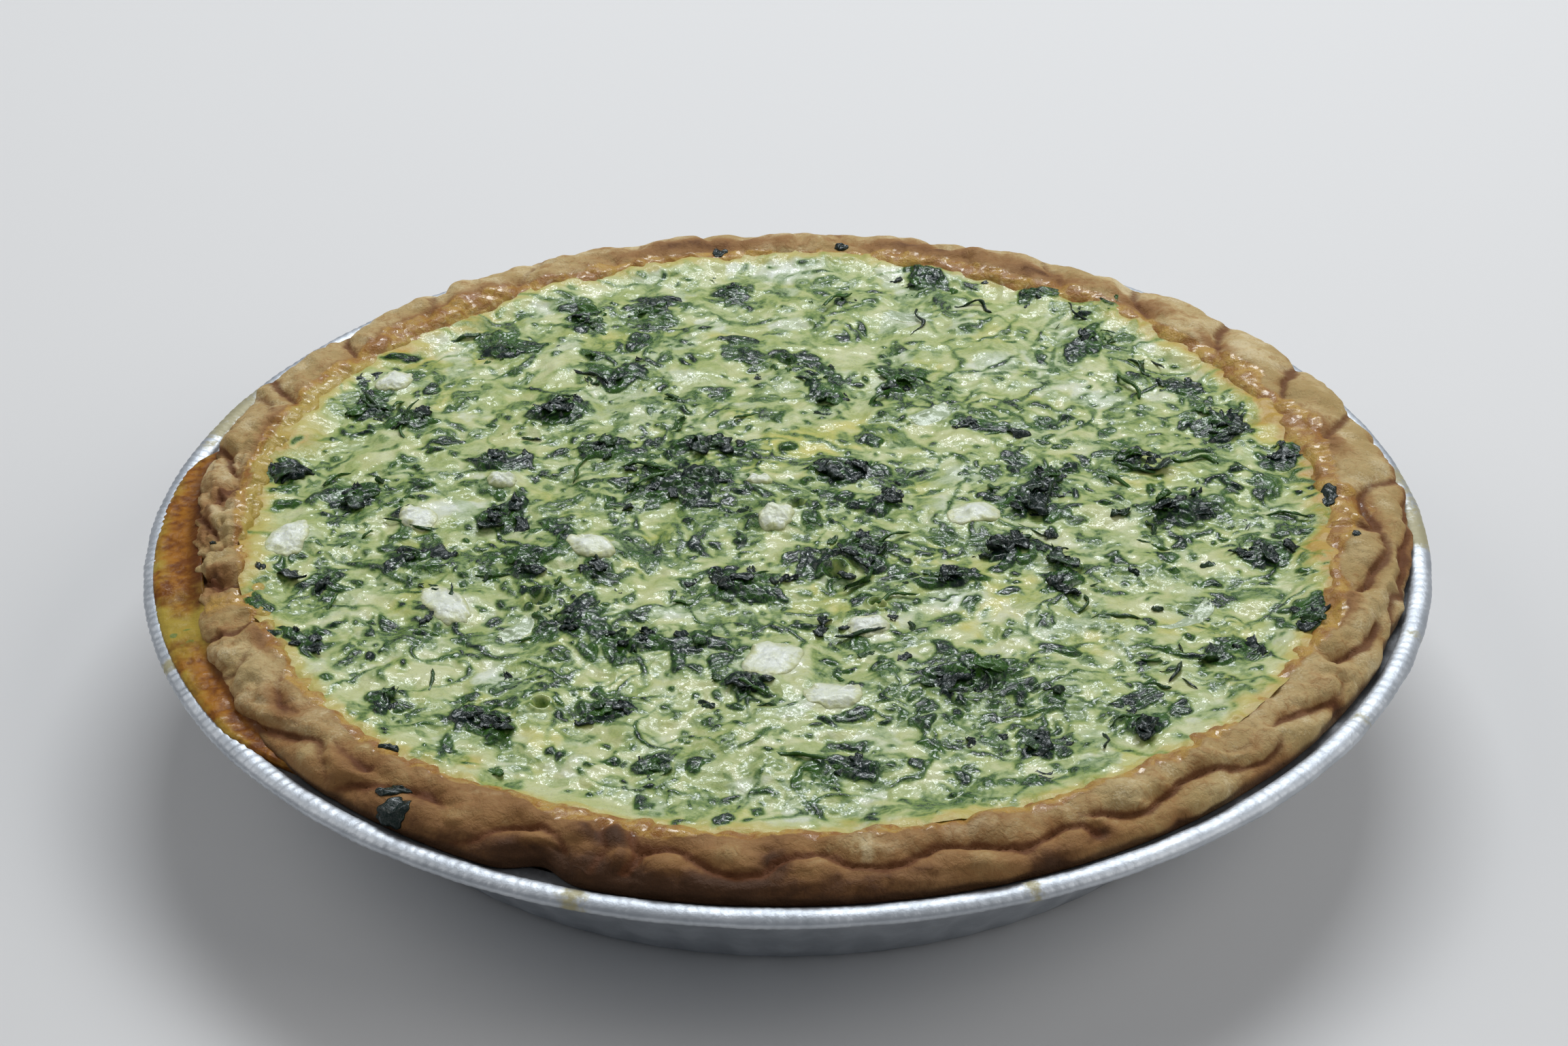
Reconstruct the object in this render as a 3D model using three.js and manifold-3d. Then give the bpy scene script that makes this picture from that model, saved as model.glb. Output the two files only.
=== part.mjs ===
// A whole spinach quiche baked in a round foil tin.
// Millimetres, +Z up. The origin is the centre of the tin's base, on the surface that it stands on.
// Angles run anticlockwise seen from above, from +X.
import * as THREE from "three";
import { mergeVertices } from "three/addons/utils/BufferGeometryUtils.js";
import Module from "manifold-3d";

// ---- Driving dimensions -------------------------------------------------------------------------

const GAP = 0.3; // clearance between two pieces that touch

// Foil tin: a flat base, a sloping wall, a flat flange and a rolled bead
const RIM_RADIUS = 114.5; // outside of the bead, so the tin is 229 mm (9 in) across
const RIM_HEIGHT = 30; // middle of the bead
const BEAD_WIDTH = 4.2;
const BEAD_HEIGHT = 2.6;
const BASE_RADIUS = 84.5;
const FLANGE_RADIUS = 106.8; // where the wall turns out into the flange
const FLANGE_HEIGHT = 29.3; // underside of the flange
const FOIL = 0.6; // wall of the tin, stouter than real foil

// Pastry: a case with a rope-crimped roll round its edge
const PASTRY = 4; // thickness of the case
const ROLL_RADIUS = 102.3; // middle of the roll
const ROLL_LEVEL = 31.3; // height of the roll's widest level
const ROLL_HALF_WIDTH = 7.6;
const ROLL_RISE = 4.5; // crest above the widest level
const ROLL_DROP = 6; // half-height of the section below that level, where only its feet are
const ROLL_START = THREE.MathUtils.degToRad(-10.6); // outer foot, down on the flange
const ROLL_END = THREE.MathUtils.degToRad(205); // inner foot, under the custard
const CASE_NECK = 24; // height where the case starts to lean in to the roll
const SHOULDER = 0.6; // the case's wall meets the roll's foot at least this far inside it
const LAP_PLACE = 0.15; // share of the way from the outer foot to the inner one where the roll laps over the bead
const LAP_SPREAD = 0.13;
const FOOT_LIFT = 0.35; // how far the outer foot lifts off the flange for each mm that the roll laps over
const CRIMPS = 30; // folds round the edge
const CRIMP_TWIST = 1.25; // folds that a crease crosses from the outer foot to the inner one
const CREASE_DEPTH = 2.5;

// Custard with chopped spinach, cheese and onion in it
const FILL_LEVEL = 33.5; // surface at the pastry
const FILL_DOME = 0.8; // rise of the surface at the middle
const FILL_RADIUS = 99; // reaches into the roll before it is trimmed
const CLUMP_RISE = 1.3; // spinach above the custard
const SPIRAL_CLUMPS = 17; // smaller clumps, spread on a sunflower spiral

// Custard that boiled over the low place in the roll and set on the flange
const SPILL_FROM = 166; // degrees
const SPILL_TO = 224;
const SPILL_LEVEL = 31.9;

const CRUST_SEGMENTS = 120;
const TIN_SEGMENTS = 72;
const FILL_SEGMENTS = 40;

// The largest clumps of spinach, each a piece of its own: x, y, length, width, turn in degrees
const SPINACH = [
  [-18.7, 8, 18, 12, -35],
  [12, -15.6, 17, 10, 5],
  [47, 6, 21, 7, 55],
  [-50, 0, 14, 7, 40],
  [-22, -42, 26, 5, 0],
  [29, -52.5, 16, 10, -35],
];

// Clumps that are part of the custard's surface, listed in the same way
const CLUMPS = [
  [39, -14, 12, 9, 30],
  [17, 1, 11, 6, 60],
  [-37, -35, 10, 9, 60],
  [-7, -54.5, 12, 6, -15],
  [-66.6, -16, 12, 5, -65],
  [-80, -23, 9, 6, 80],
  [-52, 17, 10, 7, 40],
  [-32, 21, 10, 7, 0],
  [8.5, 44, 12, 5, -70],
  [-42, 36, 9, 7, 20],
  [-45, -19, 11, 7, 0],
  [-4, -23, 13, 6, -25],
  [26, -23, 11, 7, 10],
  [48, -25, 14, 5, 85],
  [70, -1, 11, 7, 25],
  [81, 31, 9, 8, 50],
  [84, -20, 9, 7, 60],
];

// Cheese lumps: x, y, length, width, height above the custard, turn in degrees
const CHEESE = [
  [-51.6, 10, 6, 5.6, 2, 0],
  [-34.7, -13.4, 11, 6.6, 2.2, -60],
  [-2.3, -4, 9, 6.6, 2.2, 80],
  [33.1, -2.7, 9.4, 8, 1.5, 10],
  [-58.7, -30, 13, 7, 1.2, -65],
  [-2.7, -48.4, 12, 10, 1.1, 70],
  [7.7, -59, 10, 8, 1, 0],
  [-88, -8.5, 11, 7.4, 1.6, 75],
  [-66, -2, 8, 6.5, 1.2, 80],
  [-74.5, 48, 8, 6.4, 1.5, 60],
  [-5, 9.3, 5, 4, 1.4, 0],
  [13.4, -38.6, 7, 6, 1.1, 0],
];

// Onion pieces, almost flush: x, y, length, width, turn in degrees, bend in mm
const ONION = [
  [25, 73.7, 13, 6, -8, 1],
  [27, 33.5, 10, 5, 30, 1],
  [-47, -38, 9, 4.5, 50, 1.2],
  [68.4, -35, 13, 3, 40, 2.4],
];

const SPINACH_GREEN = "#2c3d2c";
const CUSTARD_YELLOW = "#ccd08c";
const PASTRY_TAN = "#c08a52";
const SPILL_AMBER = "#c07a34";
const CHEESE_CREAM = "#e6e6c4";
const ONION_CLEAR = "#c3d6c0";
const FOIL_GREY = "#c9ccd0";

// ---- Helpers ------------------------------------------------------------------------------------

const wasm = await Module();
wasm.setup();

const radians = THREE.MathUtils.degToRad;
const point = (r, z) => new THREE.Vector2(r, z);

// A closed three.js geometry as a manifold solid, facing out.
function solidOf(geometry) {
  const bare = new THREE.BufferGeometry().setAttribute("position", geometry.getAttribute("position"));
  bare.setIndex(geometry.index);
  const merged = mergeVertices(bare, 1e-4);
  const triVerts = new Uint32Array(merged.index.array);
  const vertProperties = merged.attributes.position.array;
  const made = new wasm.Manifold(new wasm.Mesh({ numProp: 3, vertProperties, triVerts }));
  if (made.volume() > 0) return made;
  for (let i = 0; i < triVerts.length; i += 3) {
    [triVerts[i + 1], triVerts[i + 2]] = [triVerts[i + 2], triVerts[i + 1]];
  }
  return new wasm.Manifold(new wasm.Mesh({ numProp: 3, vertProperties, triVerts }));
}

// The largest body of a manifold solid as a three.js geometry.
function geometryOf(solid) {
  const bodies = solid.decompose().sort((a, b) => b.volume() - a.volume());
  const mesh = bodies[0].getMesh();
  const geometry = new THREE.BufferGeometry();
  geometry.setAttribute("position", new THREE.BufferAttribute(mesh.vertProperties, 3));
  geometry.setIndex(new THREE.BufferAttribute(mesh.triVerts, 1));
  return geometry;
}

function namedMesh(name, solid, colour, roughness, metalness = 0) {
  const material = new THREE.MeshStandardMaterial({ color: colour, roughness, metalness, flatShading: true });
  const mesh = new THREE.Mesh(geometryOf(solid), material);
  mesh.name = name;
  return mesh;
}

// A profile of (radius, height) turned about +Z, its vertices then moved by reshape(vertex, angle, step).
function turned(profile, segments, reshape = () => {}) {
  const geometry = new THREE.LatheGeometry(profile, segments).rotateX(Math.PI / 2);
  const position = geometry.getAttribute("position");
  const vertex = new THREE.Vector3();
  for (let i = 0; i < position.count; i++) {
    vertex.fromBufferAttribute(position, i);
    const turn = Math.floor(i / profile.length) % segments;
    reshape(vertex, (turn / segments) * 2 * Math.PI - Math.PI / 2, i % profile.length);
    position.setXYZ(i, vertex.x, vertex.y, vertex.z);
  }
  return solidOf(geometry);
}

// A smooth hump of height 1 at an angle, in degrees, that dies away over a spread of degrees.
function hump(angle, centre, spread) {
  const off = Math.atan2(Math.sin(angle - radians(centre)), Math.cos(angle - radians(centre)));
  return Math.exp(-((off / radians(spread)) ** 2));
}

// An even, repeatable draw from 0 to 1 for item i.
function draw(i, salt) {
  const x = Math.sin(i * 12.9898 + salt * 78.233) * 43758.5453;
  return x - Math.floor(x);
}

// ---- Foil tin -----------------------------------------------------------------------------------

// The face that lies offset inside the tin's outer one: its base, corner and top, and its radius at a height.
function tinFace(offset) {
  const wall = point(FLANGE_RADIUS - BASE_RADIUS, FLANGE_HEIGHT).normalize();
  const inward = point(-wall.y, wall.x);
  const radiusAt = (z) => BASE_RADIUS + ((z - inward.y * offset) / wall.y) * wall.x + inward.x * offset;
  const top = FLANGE_HEIGHT + offset;
  return { base: offset, corner: radiusAt(offset), top, topRadius: radiusAt(top), radiusAt };
}

// The tin, or the space that it takes when its inner face and bead are grown by a clearance.
function tinSolid(grow = 0) {
  const outer = tinFace(0);
  const inner = tinFace(FOIL + grow);
  const width = BEAD_WIDTH / 2 + grow;
  const height = BEAD_HEIGHT / 2 + grow;
  const meets = (z) => Math.asin((RIM_HEIGHT - z) / height); // where the bead meets a level, past its inner side
  const bead = new THREE.EllipseCurve(RIM_RADIUS - BEAD_WIDTH / 2, RIM_HEIGHT, width, height,
    Math.PI + meets(outer.top), 3 * Math.PI + meets(inner.top));
  const profile = [
    point(0, outer.base),
    point(outer.corner, outer.base),
    point(outer.topRadius, outer.top),
    ...bead.getPoints(7),
    point(inner.topRadius, inner.top),
    point(inner.corner, inner.base),
    point(0, inner.base),
  ];
  return turned(profile, TIN_SEGMENTS);
}

// ---- Pastry case and its rope-crimped edge ------------------------------------------------------

// How the roll wanders round the tin. It is pushed in on the left, sags where the custard ran over it, and laps over
// the bead on the right and at the back.
function rollShape(angle) {
  const pushedIn = hump(angle, 191, 22);
  const sag = hump(angle, 197.5, 4);
  const slow = Math.sin(3 * angle + 0.7) + 0.6 * Math.sin(5 * angle + 2.2) + 0.4 * Math.sin(8 * angle + 4.1);
  const laps = 4.2 * hump(angle, 33, 15) + 1.3 * hump(angle, 75, 30) + 0.9 * hump(angle, 100, 14) + 1.9 * hump(angle, 155, 4);
  return {
    radius: ROLL_RADIUS - 3.1 * pushedIn,
    halfWidth: ROLL_HALF_WIDTH - 1.1 * pushedIn + 0.25 * slow - 0.25,
    rise: ROLL_RISE + 0.3 * slow - 1.5 * sag,
    lap: Math.max(0, laps - 0.05),
  };
}

// Depth of the slanting creases: 0 along the middle of a fold, CREASE_DEPTH down in a crease.
function creaseDepth(angle, along) {
  const wander = 0.9 * Math.sin(2 * angle + 0.4) + 0.7 * Math.sin(3 * angle + 2.1)
    + 0.5 * Math.sin(5 * angle + 1.3) + 0.3 * Math.sin(9 * angle + 0.2);
  const phase = CRIMPS * angle + wander + 2 * Math.PI * CRIMP_TWIST * along;
  const fold = Math.sqrt(Math.abs(Math.sin(phase / 2)));
  const uneven = 1 + 0.35 * Math.sin(4 * angle + 1) + 0.2 * Math.sin(7 * angle + 3);
  return CREASE_DEPTH * uneven * (1 - fold) * Math.sin(Math.PI * along);
}

// The pastry, or the space that it takes when its cavity and roll are grown by a clearance.
function crustSolid(grow = 0) {
  const outer = tinFace(FOIL + GAP);
  const cavity = tinFace(FOIL + GAP + PASTRY + grow);
  const steps = 11;
  const roll = new THREE.EllipseCurve(ROLL_RADIUS, ROLL_LEVEL, ROLL_HALF_WIDTH, ROLL_RISE,
    ROLL_START, ROLL_END).getPoints(steps);
  const under = [
    point(0, outer.base),
    point(outer.corner, outer.base),
    point(outer.topRadius, outer.top),
  ];
  const inside = [
    point(cavity.radiusAt(CASE_NECK), CASE_NECK),
    point(cavity.corner, cavity.base),
    point(0, cavity.base),
  ];
  return turned([...under, ...roll, ...inside], CRUST_SEGMENTS, (vertex, angle, step) => {
    const shape = rollShape(angle);
    const place = (radius, z) => vertex.set(radius * Math.cos(angle), radius * Math.sin(angle), z);
    const foot = shape.radius + (shape.halfWidth + grow) * Math.cos(ROLL_START);
    if (step === under.length - 1) place(Math.min(outer.topRadius, foot - SHOULDER), outer.top);
    const along = (step - under.length) / steps;
    if (along < 0 || along > 1) return;
    const around = ROLL_START + (ROLL_END - ROLL_START) * along;
    const proud = grow - creaseDepth(angle, along);
    const rise = Math.sin(around) > 0 ? shape.rise : ROLL_DROP;
    const z = ROLL_LEVEL + (rise + proud) * Math.sin(around);
    const lap = step === under.length ? 0 : shape.lap * Math.exp(-(((along - LAP_PLACE) / LAP_SPREAD) ** 2));
    const least = outer.top + (step === under.length ? FOOT_LIFT * shape.lap : 0);
    place(shape.radius + (shape.halfWidth + proud) * Math.cos(around) + lap, along < 0.5 ? Math.max(least, z) : z);
  });
}

// ---- Custard, and what is set in it -------------------------------------------------------------

// Height of the custard: a low dome with soft swells.
function fillHeight(x, y) {
  const dome = 1 - (x * x + y * y) / (FILL_RADIUS * FILL_RADIUS);
  const swell = Math.sin(x / 11 + 1.2) * Math.sin(y / 13 + 0.5) + 0.6 * Math.sin((x + y) / 7.5) * Math.sin((x - y) / 9);
  return FILL_LEVEL + FILL_DOME * dome + 0.3 * swell;
}

// A lumpy pebble of the given size, its middle on the custard: a ball pulled out of round by two waves.
function pebble({ x, y, length, width, above, below, turn, bend = 0, lobes = 0.16, grow = 0, seed = 0, coarse }) {
  const ball = coarse ? new THREE.OctahedronGeometry(1, 1) : new THREE.IcosahedronGeometry(1, 1);
  const position = ball.getAttribute("position");
  const v = new THREE.Vector3();
  for (let i = 0; i < position.count; i++) {
    v.fromBufferAttribute(position, i);
    const bearing = Math.atan2(v.y, v.x);
    const level = Math.hypot(v.x, v.y);
    const lobe = 1 + level * lobes * (Math.sin(2 * bearing + seed) + 0.7 * Math.sin(3 * bearing + 2.3 * seed));
    const bow = bend * (v.x * v.x - 0.5);
    position.setXYZ(i, v.x * lobe * (length / 2 + grow), v.y * lobe * (width / 2 + grow) + bow,
      v.z * ((v.z > 0 ? above : below) + grow));
  }
  ball.rotateZ(radians(turn));
  ball.translate(x, y, fillHeight(x, y));
  return solidOf(ball);
}

function clumpSolids() {
  const listed = CLUMPS.map(([x, y, length, width, turn], i) =>
    pebble({ x, y, length, width, turn, above: CLUMP_RISE, below: CLUMP_RISE, seed: i, coarse: true }));
  const golden = Math.PI * (3 - Math.sqrt(5));
  const spread = Array.from({ length: SPIRAL_CLUMPS }, (_, i) => {
    const radius = 89 * Math.sqrt((i + 0.5) / SPIRAL_CLUMPS);
    const length = 5 + 5 * draw(i, 1);
    return { x: radius * Math.cos(i * golden), y: radius * Math.sin(i * golden), length,
      width: length * (0.4 + 0.4 * draw(i, 2)), turn: 360 * draw(i, 3),
      above: 0.7 * CLUMP_RISE, below: CLUMP_RISE, seed: i, coarse: true };
  });
  const taken = [...SPINACH, ...CLUMPS, ...CHEESE, ...ONION];
  const clear = ({ x, y, length }) =>
    taken.every(([otherX, otherY, otherLength]) => Math.hypot(x - otherX, y - otherY) > (length + otherLength) / 2);
  return [...listed, ...spread.filter(clear).map(pebble)];
}

function spinachSolid(index, grow = 0) {
  const [x, y, length, width, turn] = SPINACH[index];
  return pebble({ x, y, length, width, above: 1.6, below: 2, turn, lobes: 0.13, grow, seed: index + 0.5 });
}

function cheeseSolid(index, grow = 0) {
  const [x, y, length, width, above, turn] = CHEESE[index];
  return pebble({ x, y, length, width, above, below: 0.35 * width, turn, lobes: 0.1, grow, seed: index + 1 });
}

function onionSolid(index, grow = 0) {
  const [x, y, length, width, turn, bend] = ONION[index];
  return pebble({ x, y, length, width, above: 0.5, below: 1, turn, bend, lobes: 0.06, grow, seed: index });
}

// The custard from the case's floor up to its surface, with the spinach fused on and beds for the other pieces.
function fillingSolid() {
  const cavity = tinFace(FOIL + GAP + PASTRY + GAP);
  const rings = 6;
  const surface = Array.from({ length: rings + 1 }, (_, i) => point(FILL_RADIUS * (1 - i / rings), FILL_LEVEL));
  const under = [
    point(0, cavity.base),
    point(cavity.corner, cavity.base),
    point(cavity.radiusAt(CASE_NECK), CASE_NECK),
    point(FILL_RADIUS, FILL_LEVEL - 3),
  ];
  const core = turned([...under, ...surface], FILL_SEGMENTS, (vertex, angle, step) => {
    if (step >= under.length) vertex.z = fillHeight(vertex.x, vertex.y);
  });
  const withSpinach = clumpSolids().reduce((sum, clump) => sum.add(clump), core);
  const beds = [
    ...SPINACH.map((_, i) => spinachSolid(i, GAP)),
    ...CHEESE.map((_, i) => cheeseSolid(i, GAP)),
    ...ONION.map((_, i) => onionSolid(i, GAP)),
    crustSolid(GAP),
  ];
  return beds.reduce((rest, bed) => rest.subtract(bed), withSpinach);
}

// ---- Custard that boiled over -------------------------------------------------------------------

// A crescent on the flange between the roll and the bead, deepest in its middle.
function spillSolid() {
  const steps = 16;
  const inner = ROLL_RADIUS;
  const outer = RIM_RADIUS - BEAD_WIDTH / 2;
  const top = (share) => SPILL_LEVEL - 1.5 * (2 * share - 1) ** 4 + 0.2 * Math.sin(17 * share);
  const block = new THREE.BoxGeometry(1, 1, 1, 2, steps, 1);
  const position = block.getAttribute("position");
  for (let i = 0; i < position.count; i++) {
    const share = position.getY(i) + 0.5;
    const angle = radians(SPILL_FROM + (SPILL_TO - SPILL_FROM) * share);
    const radius = inner + (outer - inner) * (position.getX(i) + 0.5);
    const z = position.getZ(i) > 0 ? top(share) : FLANGE_HEIGHT + FOIL + GAP;
    position.setXYZ(i, radius * Math.cos(angle), radius * Math.sin(angle), z);
  }
  const crust = crustSolid(GAP);
  return solidOf(block).subtract(crust).subtract(crust.translate([0, 0, GAP])).subtract(tinSolid(GAP));
}

// ---- The quiche ---------------------------------------------------------------------------------

const quiche = new THREE.Group();
quiche.add(namedMesh("foil_tin", tinSolid(), FOIL_GREY, 0.35, 1));
quiche.add(namedMesh("crust", crustSolid(), PASTRY_TAN, 0.7));
quiche.add(namedMesh("filling", fillingSolid(), CUSTARD_YELLOW, 0.4));
quiche.add(namedMesh("spill", spillSolid(), SPILL_AMBER, 0.4));

const toppings = new THREE.Group();
SPINACH.forEach((_, i) => toppings.add(namedMesh(`spinach_${i + 1}`, spinachSolid(i), SPINACH_GREEN, 0.35)));
CHEESE.forEach((_, i) => toppings.add(namedMesh(`cheese_${i + 1}`, cheeseSolid(i), CHEESE_CREAM, 0.6)));
ONION.forEach((_, i) => toppings.add(namedMesh(`onion_${i + 1}`, onionSolid(i), ONION_CLEAR, 0.3)));
quiche.add(toppings);

export default quiche;
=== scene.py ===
"""A whole spinach quiche in its foil tin: the looks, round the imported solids.

Shapes are worked out in millimetres, with the origin at the centre of the tin's base and +Z up, and put
into the meshes in metres. Angles run anticlockwise seen from above, from +X, and listed ones are in
degrees. A place on the crust's roll runs from 0 at its outer foot to 1 at its inner one.
"""

import bpy
import numpy as np
from mathutils import Matrix, Vector


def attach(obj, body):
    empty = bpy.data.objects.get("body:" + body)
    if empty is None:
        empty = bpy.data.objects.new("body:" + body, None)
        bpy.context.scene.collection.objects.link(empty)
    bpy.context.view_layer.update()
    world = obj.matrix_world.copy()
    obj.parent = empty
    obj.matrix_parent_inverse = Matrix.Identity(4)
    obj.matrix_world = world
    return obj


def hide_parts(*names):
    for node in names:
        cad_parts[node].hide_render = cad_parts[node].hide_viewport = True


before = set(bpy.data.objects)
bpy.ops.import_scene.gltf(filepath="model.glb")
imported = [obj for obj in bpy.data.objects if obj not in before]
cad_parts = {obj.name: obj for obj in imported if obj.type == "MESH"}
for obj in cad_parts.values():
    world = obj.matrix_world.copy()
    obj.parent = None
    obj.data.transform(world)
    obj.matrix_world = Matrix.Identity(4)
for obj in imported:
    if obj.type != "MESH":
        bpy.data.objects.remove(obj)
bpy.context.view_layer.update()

# ---- Sizes, as in the solids --------------------------------------------------------------------

FOIL = 0.6
GAP = 0.3
RIM_RADIUS = 114.5
RIM_HEIGHT = 30.0
BEAD_WIDTH = 4.2
BEAD_HEIGHT = 2.6
BASE_RADIUS = 84.5
FLANGE_RADIUS = 106.8
FLANGE_HEIGHT = 29.3

PASTRY = 4.0
ROLL_RADIUS = 102.3
ROLL_LEVEL = 31.3
ROLL_HALF_WIDTH = 7.6
ROLL_RISE = 4.5
ROLL_DROP = 6.0  # half-height of its section below its widest level, where only its feet are
ROLL_START = np.radians(-10.6)
ROLL_END = np.radians(205.0)
ROLL_ARC = 25.7  # length of the roll's section, from foot to foot
ROLL_FOOT = FLANGE_HEIGHT + FOIL + 0.15
ROLL_TURN = 105.0  # radius at which distances round the roll are measured
CASE_NECK = 24.0

FILL_LEVEL = 33.5
FILL_DOME = 0.8
FILL_RADIUS = 99.0
FILL_CLING = 3.3  # height above the roll's widest level at which the custard meets it

# ---- Sizes of the looks -------------------------------------------------------------------------

PLEATS = 72
PLEAT_DEPTH = 0.3
BEAD_RIDGES = 345

PITCH = 0.2  # between the points of the raster that the filling is worked out on
REACH = 101.0  # from the middle to each side of that raster
HIGHEST_LEAF = 36.2  # level in the filling above which heights are pressed together
UNDER_ROLL = (30.0, 93.0)  # level and radius that the filling's side passes under the roll

LEFT = (184, 20)  # angle and spread of the side where the roll is crumpled
SADDLE = (197, 3.0)  # and of the low place where custard ran over it

SPILL_FROM = 162
SPILL_TO = 226

# ---- What lies where ----------------------------------------------------------------------------

# Clumps of chopped spinach: x, y, length, width, turn, height
CLUMPS = np.array([
    (-18.7, 8, 18, 12, -35, 1.7), (12, -15.6, 17, 10, 5, 1.7), (47, 6, 21, 7, 55, 1.6),
    (-50, 0, 14, 7, 40, 1.5), (-22, -42, 26, 5, 0, 1.5), (29, -52.5, 16, 10, -35, 1.7),
    (39, -14, 12, 9, 30, 1.2), (17, 1, 11, 6, 60, 1.2), (-37, -36, 10, 9, 60, 1.2),
    (-7, -54.5, 12, 6, -15, 1.2), (-66.6, -16, 12, 5, -65, 1.5), (-80, -23, 9, 6, 80, 1.2),
    (-52, 17, 10, 7, 40, 1.3), (-34, 21, 10, 7, 0, 1.2), (7.5, 44, 12, 5, -70, 1.2),
    (-43, 37, 9, 8, 20, 1.4), (-46, -18, 11, 8, 0, 1.1), (-8, -24, 18, 7, -15, 1.3),
    (27, -23.5, 12, 6, 0, 1.4), (48, -23, 14, 5, 85, 1.2), (70, -1, 11, 7, 25, 1.0),
    (81, 31, 8, 11, 20, 1.2), (83, -15, 8, 6, 60, 1.0), (-14, 23.5, 12, 6, 10, 1.0),
    (0, 55, 14, 6, -20, 0.7), (-30, 51, 12, 6, 30, 0.8), (64, 17, 7, 8, 60, 0.8),
    (91.5, 19.5, 5, 8, 20, 0.9), (89, -37, 5, 8, 0, 0.9), (-79, 42, 6, 12, 15, 0.8),
    (-70, 34, 9, 6, 20, 0.8), (28, 88, 16, 7, -10, 0.8), (62, 76, 9, 6, -40, 0.6),
    (-25, 78, 7, 10, 0, 0.6), (-38, 73, 8, 12, 10, 0.6), (22, 46, 10, 9, 0, 0.7),
    (-91, 15, 7, 6, -30, 0.9), (-77, 8, 7, 6, 0, 0.6), (-84, -41, 9, 5, -30, 0.9),
    (-66, -59, 6, 5, 0, 0.7), (-51, -64, 9, 7, 20, 0.8), (-31, -61, 7, 8, 0, 0.7),
    (-22, -77, 6, 5, 0, 0.6), (10, -78, 10, 4, 0, 0.6), (42, -73, 10, 5, 0, 0.6), (59, -68, 7, 5, 0, 0.6),
    (73, -46, 8, 5, 30, 0.7), (35, 30, 7, 5, 0, 0.6), (12, 14, 14, 7, 0, 0.9), (60, 62, 12, 8, 40, 0.6),
    (75, 45, 8, 10, 30, 0.7), (50, 82, 9, 5, -30, 0.5), (-10, 84, 7, 8, 0, 0.5), (-55, 60, 8, 9, 0, 0.5),
    (-62, -33, 6, 3, 0, 0.6), (-34, -21, 5, 5, 0, 0.8),
])

# Places with little spinach: x, y, radius
CLEAR = np.array([
    (-46, 54, 10), (-27, 34, 8), (-17, 74, 8), (0, 92, 9), (10, 28, 8), (37, 54, 9), (53, 42, 9),
    (31, 23, 9), (57, -2, 7), (-25, -7, 6), (-59, -30, 8), (-88, -4, 7), (-64, 0, 6), (0, -47, 7),
    (8, -59, 7), (28, -31, 8), (9, -33, 8), (-72, -30, 6), (-76, -52, 8), (-54, -50, 9), (-7, -73, 8),
    (29, 0, 7), (23, 9, 5), (90, 26, 5), (-2, -3, 6), (-70, 12, 6), (25, 73, 6), (27, 33, 6), (62, -30, 7),
    (50, -52, 9), (20, -70, 6), (-38, -80, 8), (-84, 30, 6), (-60, 78, 6), (65, -58, 7), (-15, -36, 4),
    (-8, 35, 7), (55, 20, 6), (85, 0, 4), (78, -32, 5), (92, -14, 4),
])

# Cheese lumps: x, y, length, width, height above the custard, turn
CHEESE = np.array([
    (-51.6, 10, 6, 5.6, 2, 0), (-34.7, -13.4, 11, 6.6, 2.2, -60), (-2.3, -4, 9, 6.6, 2.2, 80),
    (33.1, -2.7, 9.4, 8, 1.5, 10), (-58.7, -30, 13, 7, 1.2, -65), (-2.7, -48.4, 12, 10, 1.1, 70),
    (7.7, -59, 10, 8, 1, 0), (-88, -8.5, 11, 7.4, 1.6, 75), (-66, -2, 8, 6.5, 1.2, 80),
    (-74.5, 48, 8, 6.4, 1.5, 60), (-5, 9.3, 5, 4, 1.4, 0), (13.4, -38.6, 7, 6, 1.1, 0),
])

# The custard's mound under each lump: x, y, length, width, turn. A lump's height stands for the turn, in
# degrees, so a mound lies almost along X whichever way its lump lies.
MOUNDS = CHEESE[:, :5]

# Onion pieces, almost flush: x, y, length, width, turn, bend in mm
ONION = np.array([
    (25, 73.7, 13, 6, -8, 1), (27, 33.5, 10, 5, 30, 1), (-47, -38, 9, 4.5, 50, 1.2),
    (68.4, -35, 13, 3, 40, 2.4),
])

# Burst bubbles in the custard: x, y, radius
BUBBLES = np.array([
    (8.2, -21, 1.3), (-43, -29, 1.2), (1.7, 0.9, 1.1), (-41, -60, 0.9), (15, -31.5, 0.7), (16, -33, 0.5),
])

# Yellow patches: x, y, radius
YELLOW = np.array([
    (9, -33, 6), (24, 8, 6), (-22, -8, 4), (2, 22, 5), (90, 26, 6), (-68, 62, 7), (-8, 35, 6), (91, 3, 4),
    (30, -34, 4), (14, 25, 6),
])

# Foamy white patches: x, y, length, width, turn
FOAM = np.array([
    (29, -30, 12, 8, 10), (-20, -33, 12, 5, 0), (8, -23.5, 7, 4, 0), (-60, 2, 8, 6, 0), (33, 12, 8, 5, 0),
    (-48, -53, 9, 6, 0), (48, -38, 9, 5, 20), (-10, 12, 6, 4, 0), (60, 40, 9, 6, 0), (0, 91.6, 12, 7, 0),
    (40.6, 53, 9, 8, 0),
])

# Browned spots in the custard: angle, distance from the middle, size
BROWNED = np.array([
    (350.5, 94.5, 5), (236, 92, 2.2), (276, 93, 2.0), (8, 94, 3), (141, 92, 5), (323, 91, 2.0),
    (19, 93, 3), (130, 93, 4), (164, 92, 4), (352, 97, 4),
])

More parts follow.
